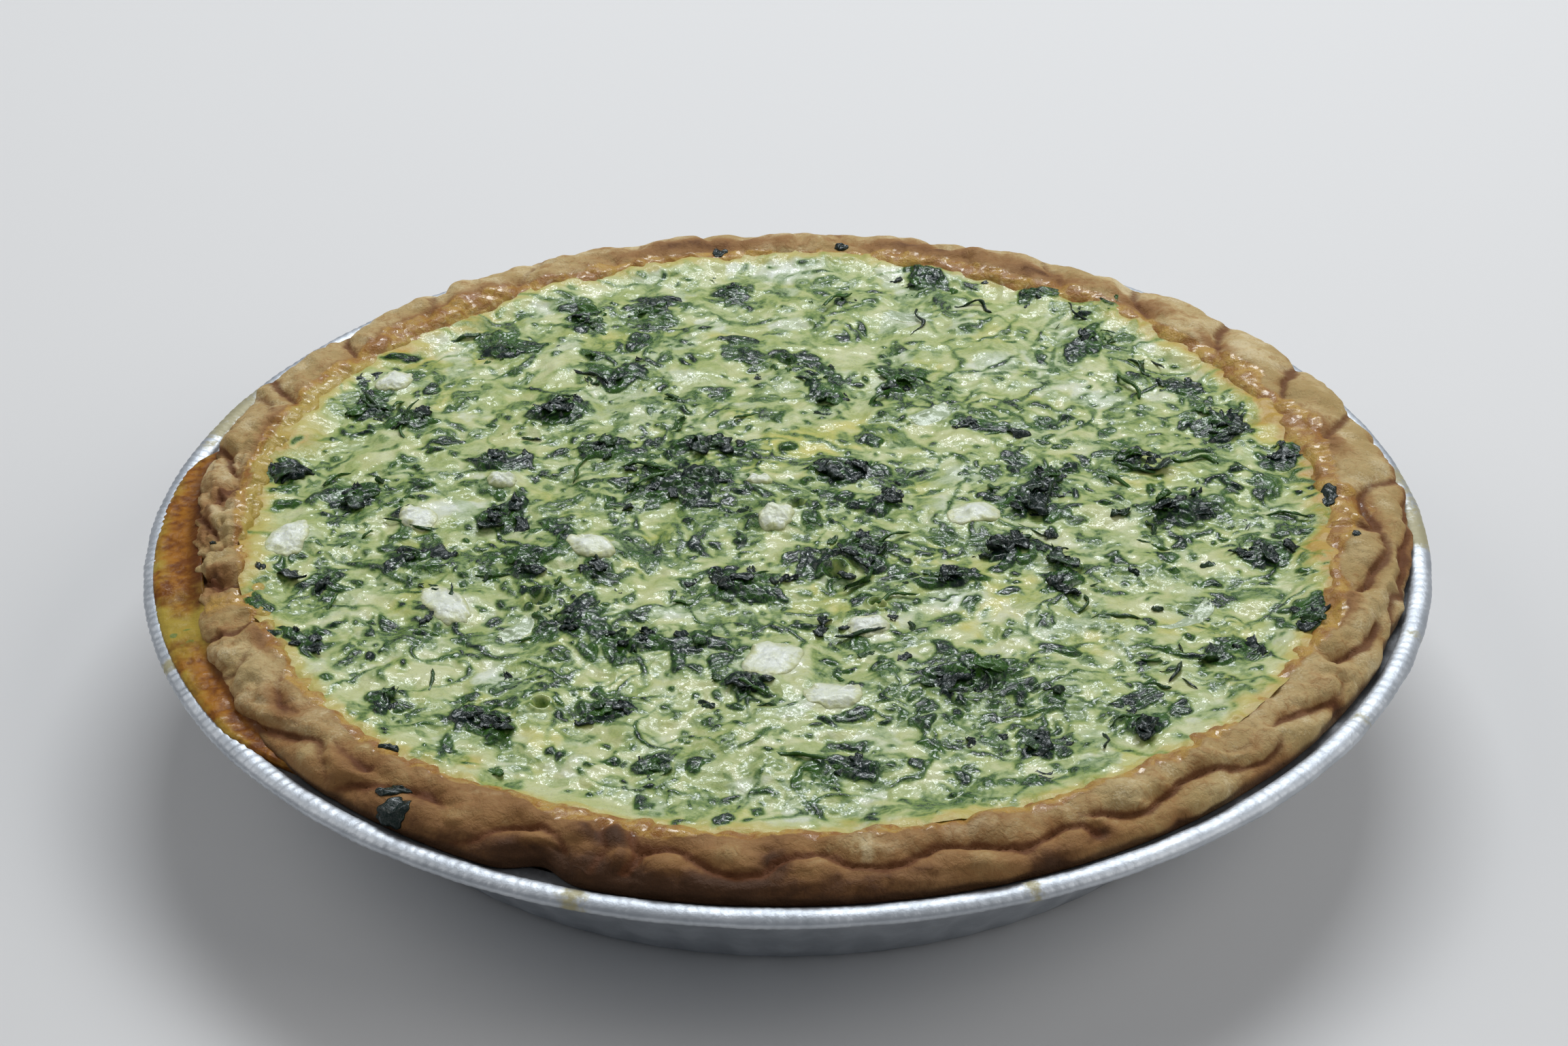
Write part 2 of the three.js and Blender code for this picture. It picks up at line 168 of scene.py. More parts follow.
# Kinds of loose bits of leaf: how many, how closely they keep to the spinach's share, the mean and spread of
# the logarithm of their half-length, the range of their width to their length, the mean and spread of their
# height, the spread of their bend, and their seed
LEAF_KINDS = [
    (1900, 1.0, 0.45, 0.40, (0.30, 0.70), (0.00, 0.30), 0.5, 31),  # loose ones
    (2600, 0.8, -0.45, 0.38, (0.4, 0.9), (0.02, 0.20), 0.0, 32),  # flecks
    (210, 0.6, 1.45, 0.28, (0.06, 0.11), (0.12, 0.15), 1.8, 33),  # strands
    (1500, 0.8, 0.75, 0.35, (0.4, 0.8), (-0.62, 0.22), 0.4, 34),  # sunken ones
]

# Creases in the roll, each a run of points: angle, place, depth in mm
CREASES = [
    [(212.5, 0.50, 1.2), (216, 0.37, 2.0), (218, 0.42, 1.2)],
    [(213.5, 0, 2.0), (216.5, 0.12, 2.6), (218.7, 0.19, 3.2), (220.5, 0.27, 2.8), (223.5, 0.34, 2.2),
     (225, 0.29, 1.4), (227, 0.17, 1.4)],
    [(224.5, 0.43, 1.2), (227.5, 0.41, 1.8), (229.5, 0.39, 2.0)],
    [(228.5, 0.12, 1.8), (230.5, 0.25, 2.4), (232.5, 0.36, 2.0), (236.5, 0.40, 2.6), (238.5, 0.34, 1.2)],
    [(241, 0.08, 1.4), (244.5, 0.32, 2.2), (246.5, 0.40, 2.8), (248, 0.425, 2.6), (249.3, 0.39, 1.8),
     (250.5, 0.26, 1.8)],
    [(253.3, 0.52, 1.4), (254, 0.36, 1.6), (253.6, 0.16, 1.4)],
    [(256.2, 0.52, 2.0), (256.8, 0.36, 3.0), (256.3, 0.20, 2.4)],
    [(256.8, 0.38, 2.8), (259.5, 0.46, 2.8), (261, 0.43, 2.8), (262.4, 0.33, 2.8), (264, 0.27, 2.4),
     (267.5, 0.26, 2.2), (268.7, 0.38, 2.6), (270.8, 0.44, 2.4), (272.5, 0.44, 2.6), (274, 0.38, 2.8),
     (275.6, 0.30, 2.8), (278, 0.27, 2.4), (280, 0.34, 2.8), (282, 0.40, 3.0), (283.6, 0.43, 3.0),
     (286, 0.40, 3.0), (288, 0.33, 3.0), (289.8, 0.27, 3.0), (291, 0.28, 2.8), (292.5, 0.33, 2.8),
     (294, 0.37, 3.0), (295.6, 0.35, 2.6), (296.8, 0.22, 2.8)],
    [(296.2, 0.42, 1.4), (299, 0.33, 2.8), (300.5, 0.27, 3.2), (302, 0.25, 3.0), (303.5, 0.30, 2.8),
     (305, 0.34, 2.8), (306.5, 0.40, 3.0), (308, 0.41, 3.0), (309.5, 0.37, 2.8), (311, 0.32, 2.4),
     (313, 0.23, 2.0), (315, 0.17, 2.4), (316.5, 0.19, 2.0), (318.3, 0.27, 1.2)],
    [(319, 0.37, 1.2), (320.3, 0.37, 2.6), (321.5, 0.32, 3.0), (323, 0.30, 2.6), (325, 0.22, 2.4),
     (326.3, 0.17, 2.4), (326.6, 0, 2.2)],
    [(326.5, 0.18, 1.6), (328, 0.20, 1.4), (329.5, 0.25, 1.0)], [(312.5, 0.43, 1.0), (315, 0.37, 1.2)],
    [(331.7, 0.39, 2.8), (333.5, 0.32, 2.8), (335.5, 0.27, 2.6), (338, 0.22, 3.0), (339.7, 0.22, 2.0)],
    [(344, 0.45, 2.6), (345.5, 0.42, 2.8), (347.5, 0.37, 2.6), (349.5, 0.32, 2.6), (352, 0.30, 1.8),
     (354.5, 0.34, 1.8), (355.2, 0.42, 2.4), (355.5, 0.50, 2.0)],
    [(355.2, 0.38, 2.6), (358, 0.43, 2.8), (361, 0.43, 2.2), (363, 0.33, 1.8), (365.5, 0.15, 2.2),
     (366.5, 0, 1.8)],
    [(340.5, 0.08, 1.6), (344.5, 0.20, 2.2), (346, 0.11, 2.8), (350, 0.16, 3.0), (353, 0.18, 3.0),
     (357, 0.13, 2.4), (363, 0.14, 1.4)],
    [(13, 0.48, 1.8), (15.5, 0.32, 2.2), (18.5, 0.12, 2.2), (19, 0, 1.8)],
    [(22.5, 0.52, 2.0), (25, 0.38, 2.6), (27.5, 0.24, 2.6), (29, 0, 2.0)],
    [(34, 0.54, 1.8), (37, 0.35, 2.4), (40, 0.10, 2.2)],
    [(45, 0.54, 2.0), (48.5, 0.36, 2.6), (51.5, 0.10, 2.2)],
    [(57, 0.54, 2.0), (60, 0.34, 2.4), (63, 0.10, 2.0)],
    [(68.5, 0.54, 2.0), (72, 0.33, 2.4), (75, 0.10, 2.0)],
    [(80, 0.54, 1.8), (83, 0.35, 2.4), (86, 0.10, 2.0)],
    [(98, 0.54, 2.0), (95, 0.34, 2.4), (92, 0.10, 2.0)],
    [(110, 0.54, 1.8), (107, 0.33, 2.4), (104, 0.10, 2.0)],
    [(122, 0.54, 2.0), (118.5, 0.34, 2.6), (116, 0.10, 2.0)],
    [(134, 0.54, 1.8), (131, 0.36, 2.4), (128, 0.10, 2.0)],
    [(145.5, 0.54, 2.0), (144, 0.36, 2.6), (141, 0.10, 2.4)],
    [(157, 0.52, 2.0), (155.5, 0.34, 2.6), (151.5, 0.08, 2.4)],
    [(160.5, 0.46, 1.4), (158, 0.35, 1.8), (156.5, 0.18, 1.8)],
    [(165.4, 0, 2.8), (166.3, 0.10, 3.2), (167.5, 0.20, 3.2), (169, 0.30, 3.0), (171.5, 0.38, 2.2),
     (173, 0.48, 1.6)],
    [(175.5, 0, 2.8), (178, 0.13, 3.2), (180.3, 0.22, 3.0), (182.5, 0.30, 3.0), (184.5, 0.35, 2.2)],
    [(175.6, 0.50, 1.8), (176.8, 0.37, 3.0), (178.4, 0.34, 2.2)],
    [(186.5, 0.50, 1.6), (187.5, 0.32, 1.8), (186.5, 0.10, 1.8)],
    [(190.5, 0.06, 2.2), (192.5, 0.30, 2.8), (193.5, 0.37, 2.8), (193.8, 0.52, 2.2)],
    [(201.5, 0.58, 1.6), (202.3, 0.35, 2.2), (202, 0.08, 2.0)],
    [(206.5, 0.44, 1.0), (208.5, 0.24, 1.6), (207, 0.05, 1.4)],
]

# Plump places between the creases: angle, place, spread and height in mm
LOBES = [
    (259.7, 0.30, 2.6, 0.7), (271.6, 0.27, 2.6, 0.6), (286.3, 0.21, 4.0, 0.6), (308, 0.20, 4.5, 0.6),
    (321, 0.17, 4.5, 0.6), (223.5, 0.24, 2.2, 0.8), (248, 0.30, 1.7, 0.8), (265, 0.40, 3.5, 0.5),
    (350, 0.43, 4.5, 0.6), (183, 0.42, 3.5, 0.6), (189, 0.36, 3.5, 0.6), (208.5, 0.38, 5.0, 0.6),
    (276, 0.46, 4.0, 0.5), (300.5, 0.44, 3.5, 0.5), (240.5, 0.30, 3.5, 0.5),
]

# Darker places on the roll, browned spots and painted shade in its hollows and low at the front: angle,
# spread, place, spread in places
BROWNED_AND_SHADED_PLACES = [
    (358.2, 3.5, 0.44, 0.09), (216.3, 2.2, 0.39, 0.07), (228.5, 1.8, 0.40, 0.06), (236.3, 1.5, 0.40, 0.06),
    (315, 3, 0.05, 0.1), (304, 1.2, 0.06, 0.08), (291.5, 2, 0.08, 0.12), (296.8, 1.2, 0.22, 0.07),
    (339.5, 3, 0.50, 0.06), (35, 3, 0.50, 0.08), (12.5, 4, 0.48, 0.1), (47, 3.5, 0.45, 0.12),
    (60, 5, 0.50, 0.1), (74, 8, 0.45, 0.12), (100, 9, 0.45, 0.12), (134, 12, 0.55, 0.07),
    (177.2, 1.6, 0.39, 0.08), (192.5, 1.6, 0.34, 0.12), (181.5, 3, 0.26, 0.08), (254, 2, 0.45, 0.08),
    (163, 5, 0.56, 0.07), (352, 4, 0.14, 0.07), (5, 9, 0.10, 0.09), (206, 3, 0.52, 0.06),
    (326.5, 0.8, 0.12, 0.1), (268.7, 1.4, 0.38, 0.09), (173, 3, 0.56, 0.05),
]

# Where the roll laps outwards over the bead: angle, spread, how far in mm
LAPS = [(33, 15, 4.2), (6, 13, 2.4), (75, 30, 1.3), (100, 14, 0.9), (155, 4, 1.9)]

# Where the egg film reaches further over the roll, or less far: angle, spread, by how many places
FILM_EDGE = [(358.5, 3.2, -0.13), (338, 5, -0.05), (350, 4, 0.03), (*LEFT, 0.05), (140, 18, -0.04),
             (16, 16, -0.06)]

# Dried custard on the bead: angle, spread, strength
BEAD_STAINS = [
    (252.8, 1.3, 0.8), (289.3, 0.9, 0.6), (357.5, 2.4, 0.8), (326.8, 0.8, 0.6), (8.0, 1.6, 0.7),
    (202.5, 1.1, 0.8), (158.5, 6.5, 1.0), (341.0, 0.7, 0.5), (2.5, 6.0, 0.6),
]

# Leaf on the pastry: angle, place, length along the roll, length across it, thickness in mm, skew
CRUST_LEAVES = [
    (235.0, 0.17, 6.5, 8.5, 0.6, 0.2), (233.2, 0.33, 4.0, 3.5, 0.5, 0.5),
    (0.5, 0.675, 6.5, 4.2, 0.5, -0.6), (97.5, 0.55, 3.0, 3.5, 0.3, 0.1), (185.6, 0.33, 1.6, 1.4, 0.5, 0),
    (191.0, 0.68, 4.5, 2.0, 0.6, 0.4), (352.5, 0.52, 1.8, 1.4, 0.5, 0), (228.9, 0.62, 3.0, 2.5, 0.6, 0.3),
    (83.5, 0.52, 3.0, 2.2, 0.6, 0),
]


# ---- Numbers ------------------------------------------------------------------------------------

def lattice(i, j, k, seed):
    """A repeatable number from -1 to 1 for each whole-number point: its coordinates are multiplied by
    large odd numbers and joined by exclusive or, and the bits are mixed by shifts and products."""
    h = i.astype(np.uint32) * np.uint32(0x8DA6B343)
    h ^= j.astype(np.uint32) * np.uint32(0xD8163841)
    h ^= k.astype(np.uint32) * np.uint32(0xCB1AB31F)
    h ^= np.uint32((seed * 0x9E3779B1) & 0xFFFFFFFF)
    h = (h ^ (h >> np.uint32(15))) * np.uint32(0x2C1B3C6D)
    h = (h ^ (h >> np.uint32(12))) * np.uint32(0x297A2D39)
    h ^= h >> np.uint32(15)
    return h.astype(np.float64) / 2.0**31 - 1.0


def noise(x, y, z=0.0, seed=0):
    """Smooth noise from -1 to 1: the lattice numbers at the eight whole-number points round a point,
    mixed along each axis by s = t t t (t (6 t - 15) + 10), where t is how far the point is between two
    of them."""
    x, y, z = np.broadcast_arrays(*(np.asarray(a, dtype=float) for a in (x, y, z)))
    cell = [np.floor(a).astype(np.int64) for a in (x, y, z)]
    t = [a - c for a, c in zip((x, y, z), cell)]
    s = [a * a * a * (a * (6 * a - 15) + 10) for a in t]
    share = [(1 - a, a) for a in s]
    total = np.zeros_like(x)
    for dk in ((0, 1) if s[2].any() else (0,)):
        for di in (0, 1):
            for dj in (0, 1):
                weight = share[0][di] * share[1][dj] * share[2][dk]
                total += weight * lattice(cell[0] + di, cell[1] + dj, cell[2] + dk, seed)
    return total


def rough(x, y, z=0.0, size=5.0, octaves=3, seed=0, gain=0.5):
    """Noise with finer noise on it: the sum over n of gain^n noise(2^n p / size), divided by the sum of
    gain^n."""
    total, whole = 0.0, 0.0
    for n in range(octaves):
        k = 2.0**n / size
        total = total + gain**n * noise(x * k, y * k, np.asarray(z) * k, seed + 17 * n)
        whole += gain**n
    return total / whole


def step(a, low, high):
    """0 below low, 1 above high, and t t (3 - 2 t) between. Where low is above high it falls instead."""
    t = np.clip((a - low) / (high - low), 0.0, 1.0)
    return t * t * (3 - 2 * t)


def bell(d, width):
    """exp(-(d / width)^2)."""
    return np.exp(-((d / width) ** 2))


def turn_off(angle, centre):
    """How far an angle is from a centre given in degrees, in degrees from -180 to 180."""
    off = angle - np.radians(centre)
    return np.degrees(np.arctan2(np.sin(off), np.cos(off)))


def hump(angle, centre, spread):
    """exp(-((angle - centre) / spread)^2), in degrees."""
    return bell(turn_off(angle, centre), spread)


def humps(angle, rows):
    """The sum of the humps in rows of centre, spread and height."""
    return sum(height * hump(angle, centre, spread) for centre, spread, height in rows)


def in_ellipse(x, y, blob):
    """Square of the distance from a blob's middle in units of its half-length and half-width. A blob is
    x, y, length, width and turn."""
    cx, cy, length, width, turn = blob
    a = np.radians(turn)
    u = ((x - cx) * np.cos(a) + (y - cy) * np.sin(a)) / (length / 2)
    v = (-(x - cx) * np.sin(a) + (y - cy) * np.cos(a)) / (width / 2)
    return u * u + v * v


# ---- Meshes -------------------------------------------------------------------------------------

def grid_faces(rows, columns, wrap_rows=False):
    """Quads between neighbours on a grid whose point (i, j) is number i columns + j."""
    i = np.arange(rows if wrap_rows else rows - 1)
    j = np.arange(columns - 1)
    i, j = (a.ravel() for a in np.meshgrid(i, j, indexing="ij"))
    i2, j2 = (i + 1) % rows, j + 1
    return np.stack([i * columns + j, i2 * columns + j, i2 * columns + j2, i * columns + j2], axis=1)


def skin_faces(rows, columns):
    """Triangles of a grid. Each corner cell is cut from the corner inwards, so that no triangle has
    three points on the border."""
    quads = grid_faces(rows, columns)
    turned = [columns - 2, (rows - 2) * (columns - 1)]
    quads[turned] = np.roll(quads[turned], -1, axis=1)
    return np.concatenate([quads[:, [0, 1, 2]], quads[:, [0, 2, 3]]])


def fan_faces(ring, pole):
    """Triangles from each pair of neighbours on a closed ring of point numbers to a pole."""
    return np.stack([ring, np.roll(ring, -1), np.full(len(ring), pole)], axis=1)


def wall_faces(upper, lower):
    """Quads between two closed rings of point numbers."""
    return np.stack([upper, lower, np.roll(lower, -1), np.roll(upper, -1)], axis=1)


def border(rows, columns):
    """Numbers of the points round the edge of a grid, from (0, 0) along the rows, then along the
    columns, and back."""
    last_i, last_j = rows - 1, columns - 1
    up, along = np.arange(last_i), np.arange(last_j)
    i = np.concatenate([up, np.full(last_j, last_i), last_i - up, np.zeros(last_j)])
    j = np.concatenate([np.zeros(last_i), along, np.full(last_i, last_j), last_j - along])
    return (i * columns + j).astype(int)


def two_skins(rows, columns):
    """Faces of a closed lens of two grids that share their border, and which points of a grid are inside
    its border. The lower grid's inner points are numbered after the upper grid's points."""
    inside = np.ones(rows * columns, bool)
    inside[border(rows, columns)] = False
    under = np.arange(rows * columns)
    under[inside] = rows * columns + np.arange(inside.sum())
    skin = skin_faces(rows, columns)
    return np.concatenate([skin, under[skin][:, ::-1]]), inside


def carried_round(r, z, low, high):
    """Points and faces of a closed skin: profiles of radius and height carried round the axis, one for
    each row, with a fan from their first points to a pole at the low height and one from their last to a
    pole at the high one."""
    turns, columns = r.shape
    angle = np.arange(turns)[:, None] / turns * 2 * np.pi
    grid = np.stack([r * np.cos(angle), r * np.sin(angle), z], axis=-1)
    points = np.concatenate([grid.reshape(-1, 3), [[0, 0, low], [0, 0, high]]])
    first = np.arange(turns) * columns
    faces = [grid_faces(turns, columns, wrap_rows=True), fan_faces(first, turns * columns)[:, ::-1],
             fan_faces(first + columns - 1, turns * columns + 1)]
    return points, faces


def add_piece(name, points, faces, material, replaced=(), attributes=None, sharp=None):
    """A mesh piece from points in mm and a list of face arrays, shaded smooth, riding on the object's
    body. An edge between two of the points numbered in sharp stays a sharp one."""
    mesh = bpy.data.meshes.new(name)
    points = np.asarray(points, dtype=np.float64).reshape(-1, 3) * 0.001
    mesh.vertices.add(len(points))
    mesh.vertices.foreach_set("co", points.astype(np.float32).ravel())
    corners = np.concatenate([f.ravel() for f in faces])
    counts = np.concatenate([np.full(len(f), f.shape[1]) for f in faces])
    mesh.loops.add(len(corners))
    mesh.loops.foreach_set("vertex_index", corners.astype(np.int32))
    mesh.polygons.add(len(counts))
    mesh.polygons.foreach_set("loop_start", np.concatenate([[0], np.cumsum(counts)[:-1]]).astype(np.int32))
    for label, values in (attributes or {}).items():
        layer = mesh.attributes.new(label, "FLOAT", "POINT")
        layer.data.foreach_set("value", np.asarray(values, dtype=np.float32).ravel())
    mesh.update(calc_edges=True)
    mesh.shade_smooth()
    if sharp is not None:
        ends = np.zeros(len(mesh.edges) * 2, np.int32)
        mesh.edges.foreach_get("vertices", ends)
        marked = np.zeros(len(points), bool)
        marked[sharp] = True
        layer = mesh.attributes.new("sharp_edge", "BOOLEAN", "EDGE")
        layer.data.foreach_set("value", marked[ends.reshape(-1, 2)].all(axis=1))
    mesh.materials.append(material)
    piece = bpy.data.objects.new(name, mesh)
    bpy.context.scene.collection.objects.link(piece)
    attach(piece, "root")
    if replaced:
        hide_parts(*replaced)


# ---- Materials ----------------------------------------------------------------------------------

class Socket:
    """A value inside a material. Its operators add Math nodes."""

    def __init__(self, maker, socket):
        self.maker = maker
        self.socket = socket

    def math(self, operation, *others):
        """A Math node on this value and the others."""
        return self.maker.node("ShaderNodeMath", {"operation": operation}, dict(enumerate((self, *others))))

    def __add__(self, other):
        return self.math("ADD", other)

    def __mul__(self, other):
        return self.math("MULTIPLY", other)

    def __sub__(self, other):
        return self.math("SUBTRACT", other)

    def __rsub__(self, other):
        return self.math("MULTIPLY", -1.0).math("ADD", other)

    __radd__ = __add__
    __rmul__ = __mul__

    def swing(self, reach):
        """(value - 0.5) reach: noise from 0 to 1 made to swing both ways."""
        return (self - 0.5) * reach

    def step(self, low, high):
        """0 below low, 1 above high and smooth between; falls instead of rising where low is above high."""
        out = (0.0, 1.0) if low < high else (1.0, 0.0)
        return self.maker.node("ShaderNodeMapRange", {"interpolation_type": "SMOOTHSTEP"},
                               {0: self, 1: min(low, high), 2: max(low, high), 3: out[0], 4: out[1]})


class Maker:
    """Makes one material round a Principled shader."""

    def __init__(self, name):
        self.material = bpy.data.materials.new(name)
        self.material.use_nodes = True
        self.tree = self.material.node_tree
        self.place = self.node("ShaderNodeTexCoord", {}, {}, "Object")

    def fill(self, node, inputs):
        """Gives sockets of a node, by name or number, a number, colour or link each."""
        for key, value in inputs.items():
            if isinstance(value, Socket):
                self.tree.links.new(value.socket, node.inputs[key])
            else:
                node.inputs[key].default_value = value

    def node(self, kind, settings, inputs, output=0):
        """A node of a kind: its settings first, then its sockets. Returns one of its outputs."""
        made = self.tree.nodes.new(kind)
        for key, value in settings.items():
            setattr(made, key, value)
        self.fill(made, inputs)
        return Socket(self, made.outputs[output])

    def attribute(self, name):
        """A number that the mesh carries at its points."""
        return self.node("ShaderNodeAttribute", {"attribute_name": name}, {}, "Fac")

    def noise(self, size, detail, distortion=0.0, roughness=0.5):
        """Noise from 0 to 1 with features of a size in mm."""
        return self.node("ShaderNodeTexNoise", {}, {
            "Vector": self.place, "Scale": 1000.0 / size, "Detail": detail, "Roughness": roughness,
            "Distortion": distortion})

    def cells(self, size, feature="F1"):
        """Distance to the nearest of scattered points a size in mm apart, in units of that size."""
        return self.node("ShaderNodeTexVoronoi", {"feature": feature},
                         {"Vector": self.place, "Scale": 1000.0 / size})

    def mix(self, share, first, second):
        """A colour: first where share is 0, second where it is 1."""
        def colour(c):
            return c if isinstance(c, Socket) else (*c, 1.0)
        return self.node("ShaderNodeMix", {"data_type": "RGBA", "clamp_factor": True},
                         {0: share, 6: colour(first), 7: colour(second)}, 2)

    def layers(self, colour, *coats):
        """A colour with others laid over it one after another, each given as its share and the colour."""
        for share, coat in coats:
            colour = self.mix(share, colour, coat)
        return colour

    def bump(self, height, distance):
        """Normals for a height from 0 to 1 that stands for distance in mm."""
        return self.node("ShaderNodeBump", {},
                         {"Height": height, "Distance": distance * 0.001, "Strength": 1.0})

    def finish(self, inputs):
        """The material, with its shader's sockets filled."""
        self.fill(self.tree.nodes["Principled BSDF"], inputs)
        return self.material


DARK_LEAF = (0.005, 0.016, 0.012)
GREEN_LEAF = (0.042, 0.125, 0.012)


def filling_material():
    """Set egg custard with chopped spinach in it. The custard is pale yellow-green, whiter where it is
    foamy, yellower where it is rich, tan to orange where it browned at the pastry. Where leaf stands
    above it, it is almost black green; where leaf lies under it, the custard is tinted, the more the
    shallower the leaf."""
    m = Maker("filling")
    soft = m.noise(7, 3)
    fine = m.noise(1.5, 4, 0.6, roughness=0.6)
    grain = m.noise(0.42, 2)
    rich = m.attribute("yellow") + fine.swing(0.5)
    white = m.attribute("white") + fine.swing(0.7)
    browned = m.attribute("brown") + fine.swing(0.6) + soft.swing(0.5)
    leaf = m.attribute("leaf") + fine.swing(0.9) + grain.swing(0.35)
    shown = leaf.step(-0.10, 0.18)
    colour = m.layers(
        m.mix(soft.step(0.35, 0.68), (0.51, 0.54, 0.225), (0.62, 0.645, 0.36)),
        (rich.step(0.40, 0.95) * 0.9, (0.60, 0.55, 0.13)),
        (white.step(0.35, 0.95) * 0.85, (0.69, 0.73, 0.58)),
        (white.step(1.05, 1.55) * 0.85, (0.80, 0.84, 0.73)),
        (browned.step(0.10, 0.70) * 0.85, (0.54, 0.455, 0.115)),
        (browned.step(0.75, 1.35) * 0.9, (0.50, 0.300, 0.055)),
        (leaf.step(-1.35, -0.10) * 0.64, (0.20, 0.325, 0.045)),
        (leaf.step(-0.50, 0.05) * 0.80, (0.050, 0.140, 0.016)),
        (shown, m.mix((fine + soft.swing(0.9)).step(0.36, 0.72), DARK_LEAF, GREEN_LEAF)))
    relief = (fine * 0.50 + grain * 0.20) * (0.45 + 0.35 * shown) + m.cells(2.4, "SMOOTH_F1") * 0.12
    wet = (grain + fine.swing(0.6)).step(0.50, 0.66)
    return m.finish({
        "Base Color": colour, "Roughness": 0.28 + 0.24 * m.noise(3.5, 3) - shown * 0.18,
        "Normal": m.bump(relief, 0.6), "Coat Weight": (0.10 + wet * 0.9) * browned.step(1.1, 0.3),
        "Coat Roughness": 0.04, "Specular IOR Level": 0.42, "IOR": 1.40,
        "Subsurface Weight": 0.12, "Subsurface Radius": (0.004, 0.0035, 0.0015), "Subsurface Scale": 1.0})


def spinach_material():
    """Wet cooked spinach: almost black green, lighter where the leaf is thin, and on the scraps lighter
    towards the back, which is painted light; with a crinkled, shiny skin."""
    m = Maker("spinach_leaf")
    soft = m.noise(2.4, 3, 0.4)
    fine = m.noise(0.8, 4, 1.0, roughness=0.65)
    thin = (m.attribute("tint") + soft.swing(0.9)).step(0.35, 0.95)
    wet = (m.noise(0.42, 2) + fine.swing(0.6)).step(0.50, 0.66)
    return m.finish({
        "Base Color": m.mix(thin, DARK_LEAF, GREEN_LEAF), "Roughness": 0.13 + 0.16 * soft,
        "Normal": m.bump(fine * 0.35 + soft * 0.65, 0.55), "Coat Weight": 0.05 + wet * 0.55,
        "Coat Roughness": 0.04, "Specular IOR Level": 0.5, "IOR": 1.4})


def cheese_material():
    """Crumbly white cheese, moist, creamier in soft patches and tinted by the custard at its edge."""
    m = Maker("cheese")
    soft = m.noise(3, 3)
    fine = m.noise(0.9, 4)
    edge = (m.attribute("out") + fine.swing(0.7) + soft.swing(0.5)).step(0.50, 1.0)
    white = m.mix(soft.step(0.35, 0.65), (0.75, 0.79, 0.58), (0.83, 0.87, 0.73))
    return m.finish({
        "Base Color": m.mix(edge, white, (0.60, 0.63, 0.31)), "Roughness": 0.32 + 0.3 * fine,
        "Normal": m.bump(fine * 0.6 + m.cells(1.3) * 0.3, 0.45), "Coat Weight": 0.2, "Coat Roughness": 0.15,
        "Subsurface Weight": 0.3, "Subsurface Radius": (0.003, 0.003, 0.0018), "Subsurface Scale": 1.0})


def onion_material():
    """Cooked onion: translucent, bluish white, with fine lines, and tinted by the custard at its edge."""
    m = Maker("onion")
    line = m.noise(1.2, 2)
    edge = (m.attribute("out") + line.swing(0.4)).step(0.80, 1.0) * 0.7
    white = m.mix(line.step(0.35, 0.65), (0.38, 0.46, 0.28), (0.49, 0.57, 0.39))
    return m.finish({
        "Base Color": m.mix(edge, white, (0.50, 0.54, 0.20)), "Roughness": 0.28, "Normal": m.bump(line, 0.3),
        "Coat Weight": 0.2, "Coat Roughness": 0.1, "Subsurface Weight": 0.4,
        "Subsurface Radius": (0.003, 0.0035, 0.003)})


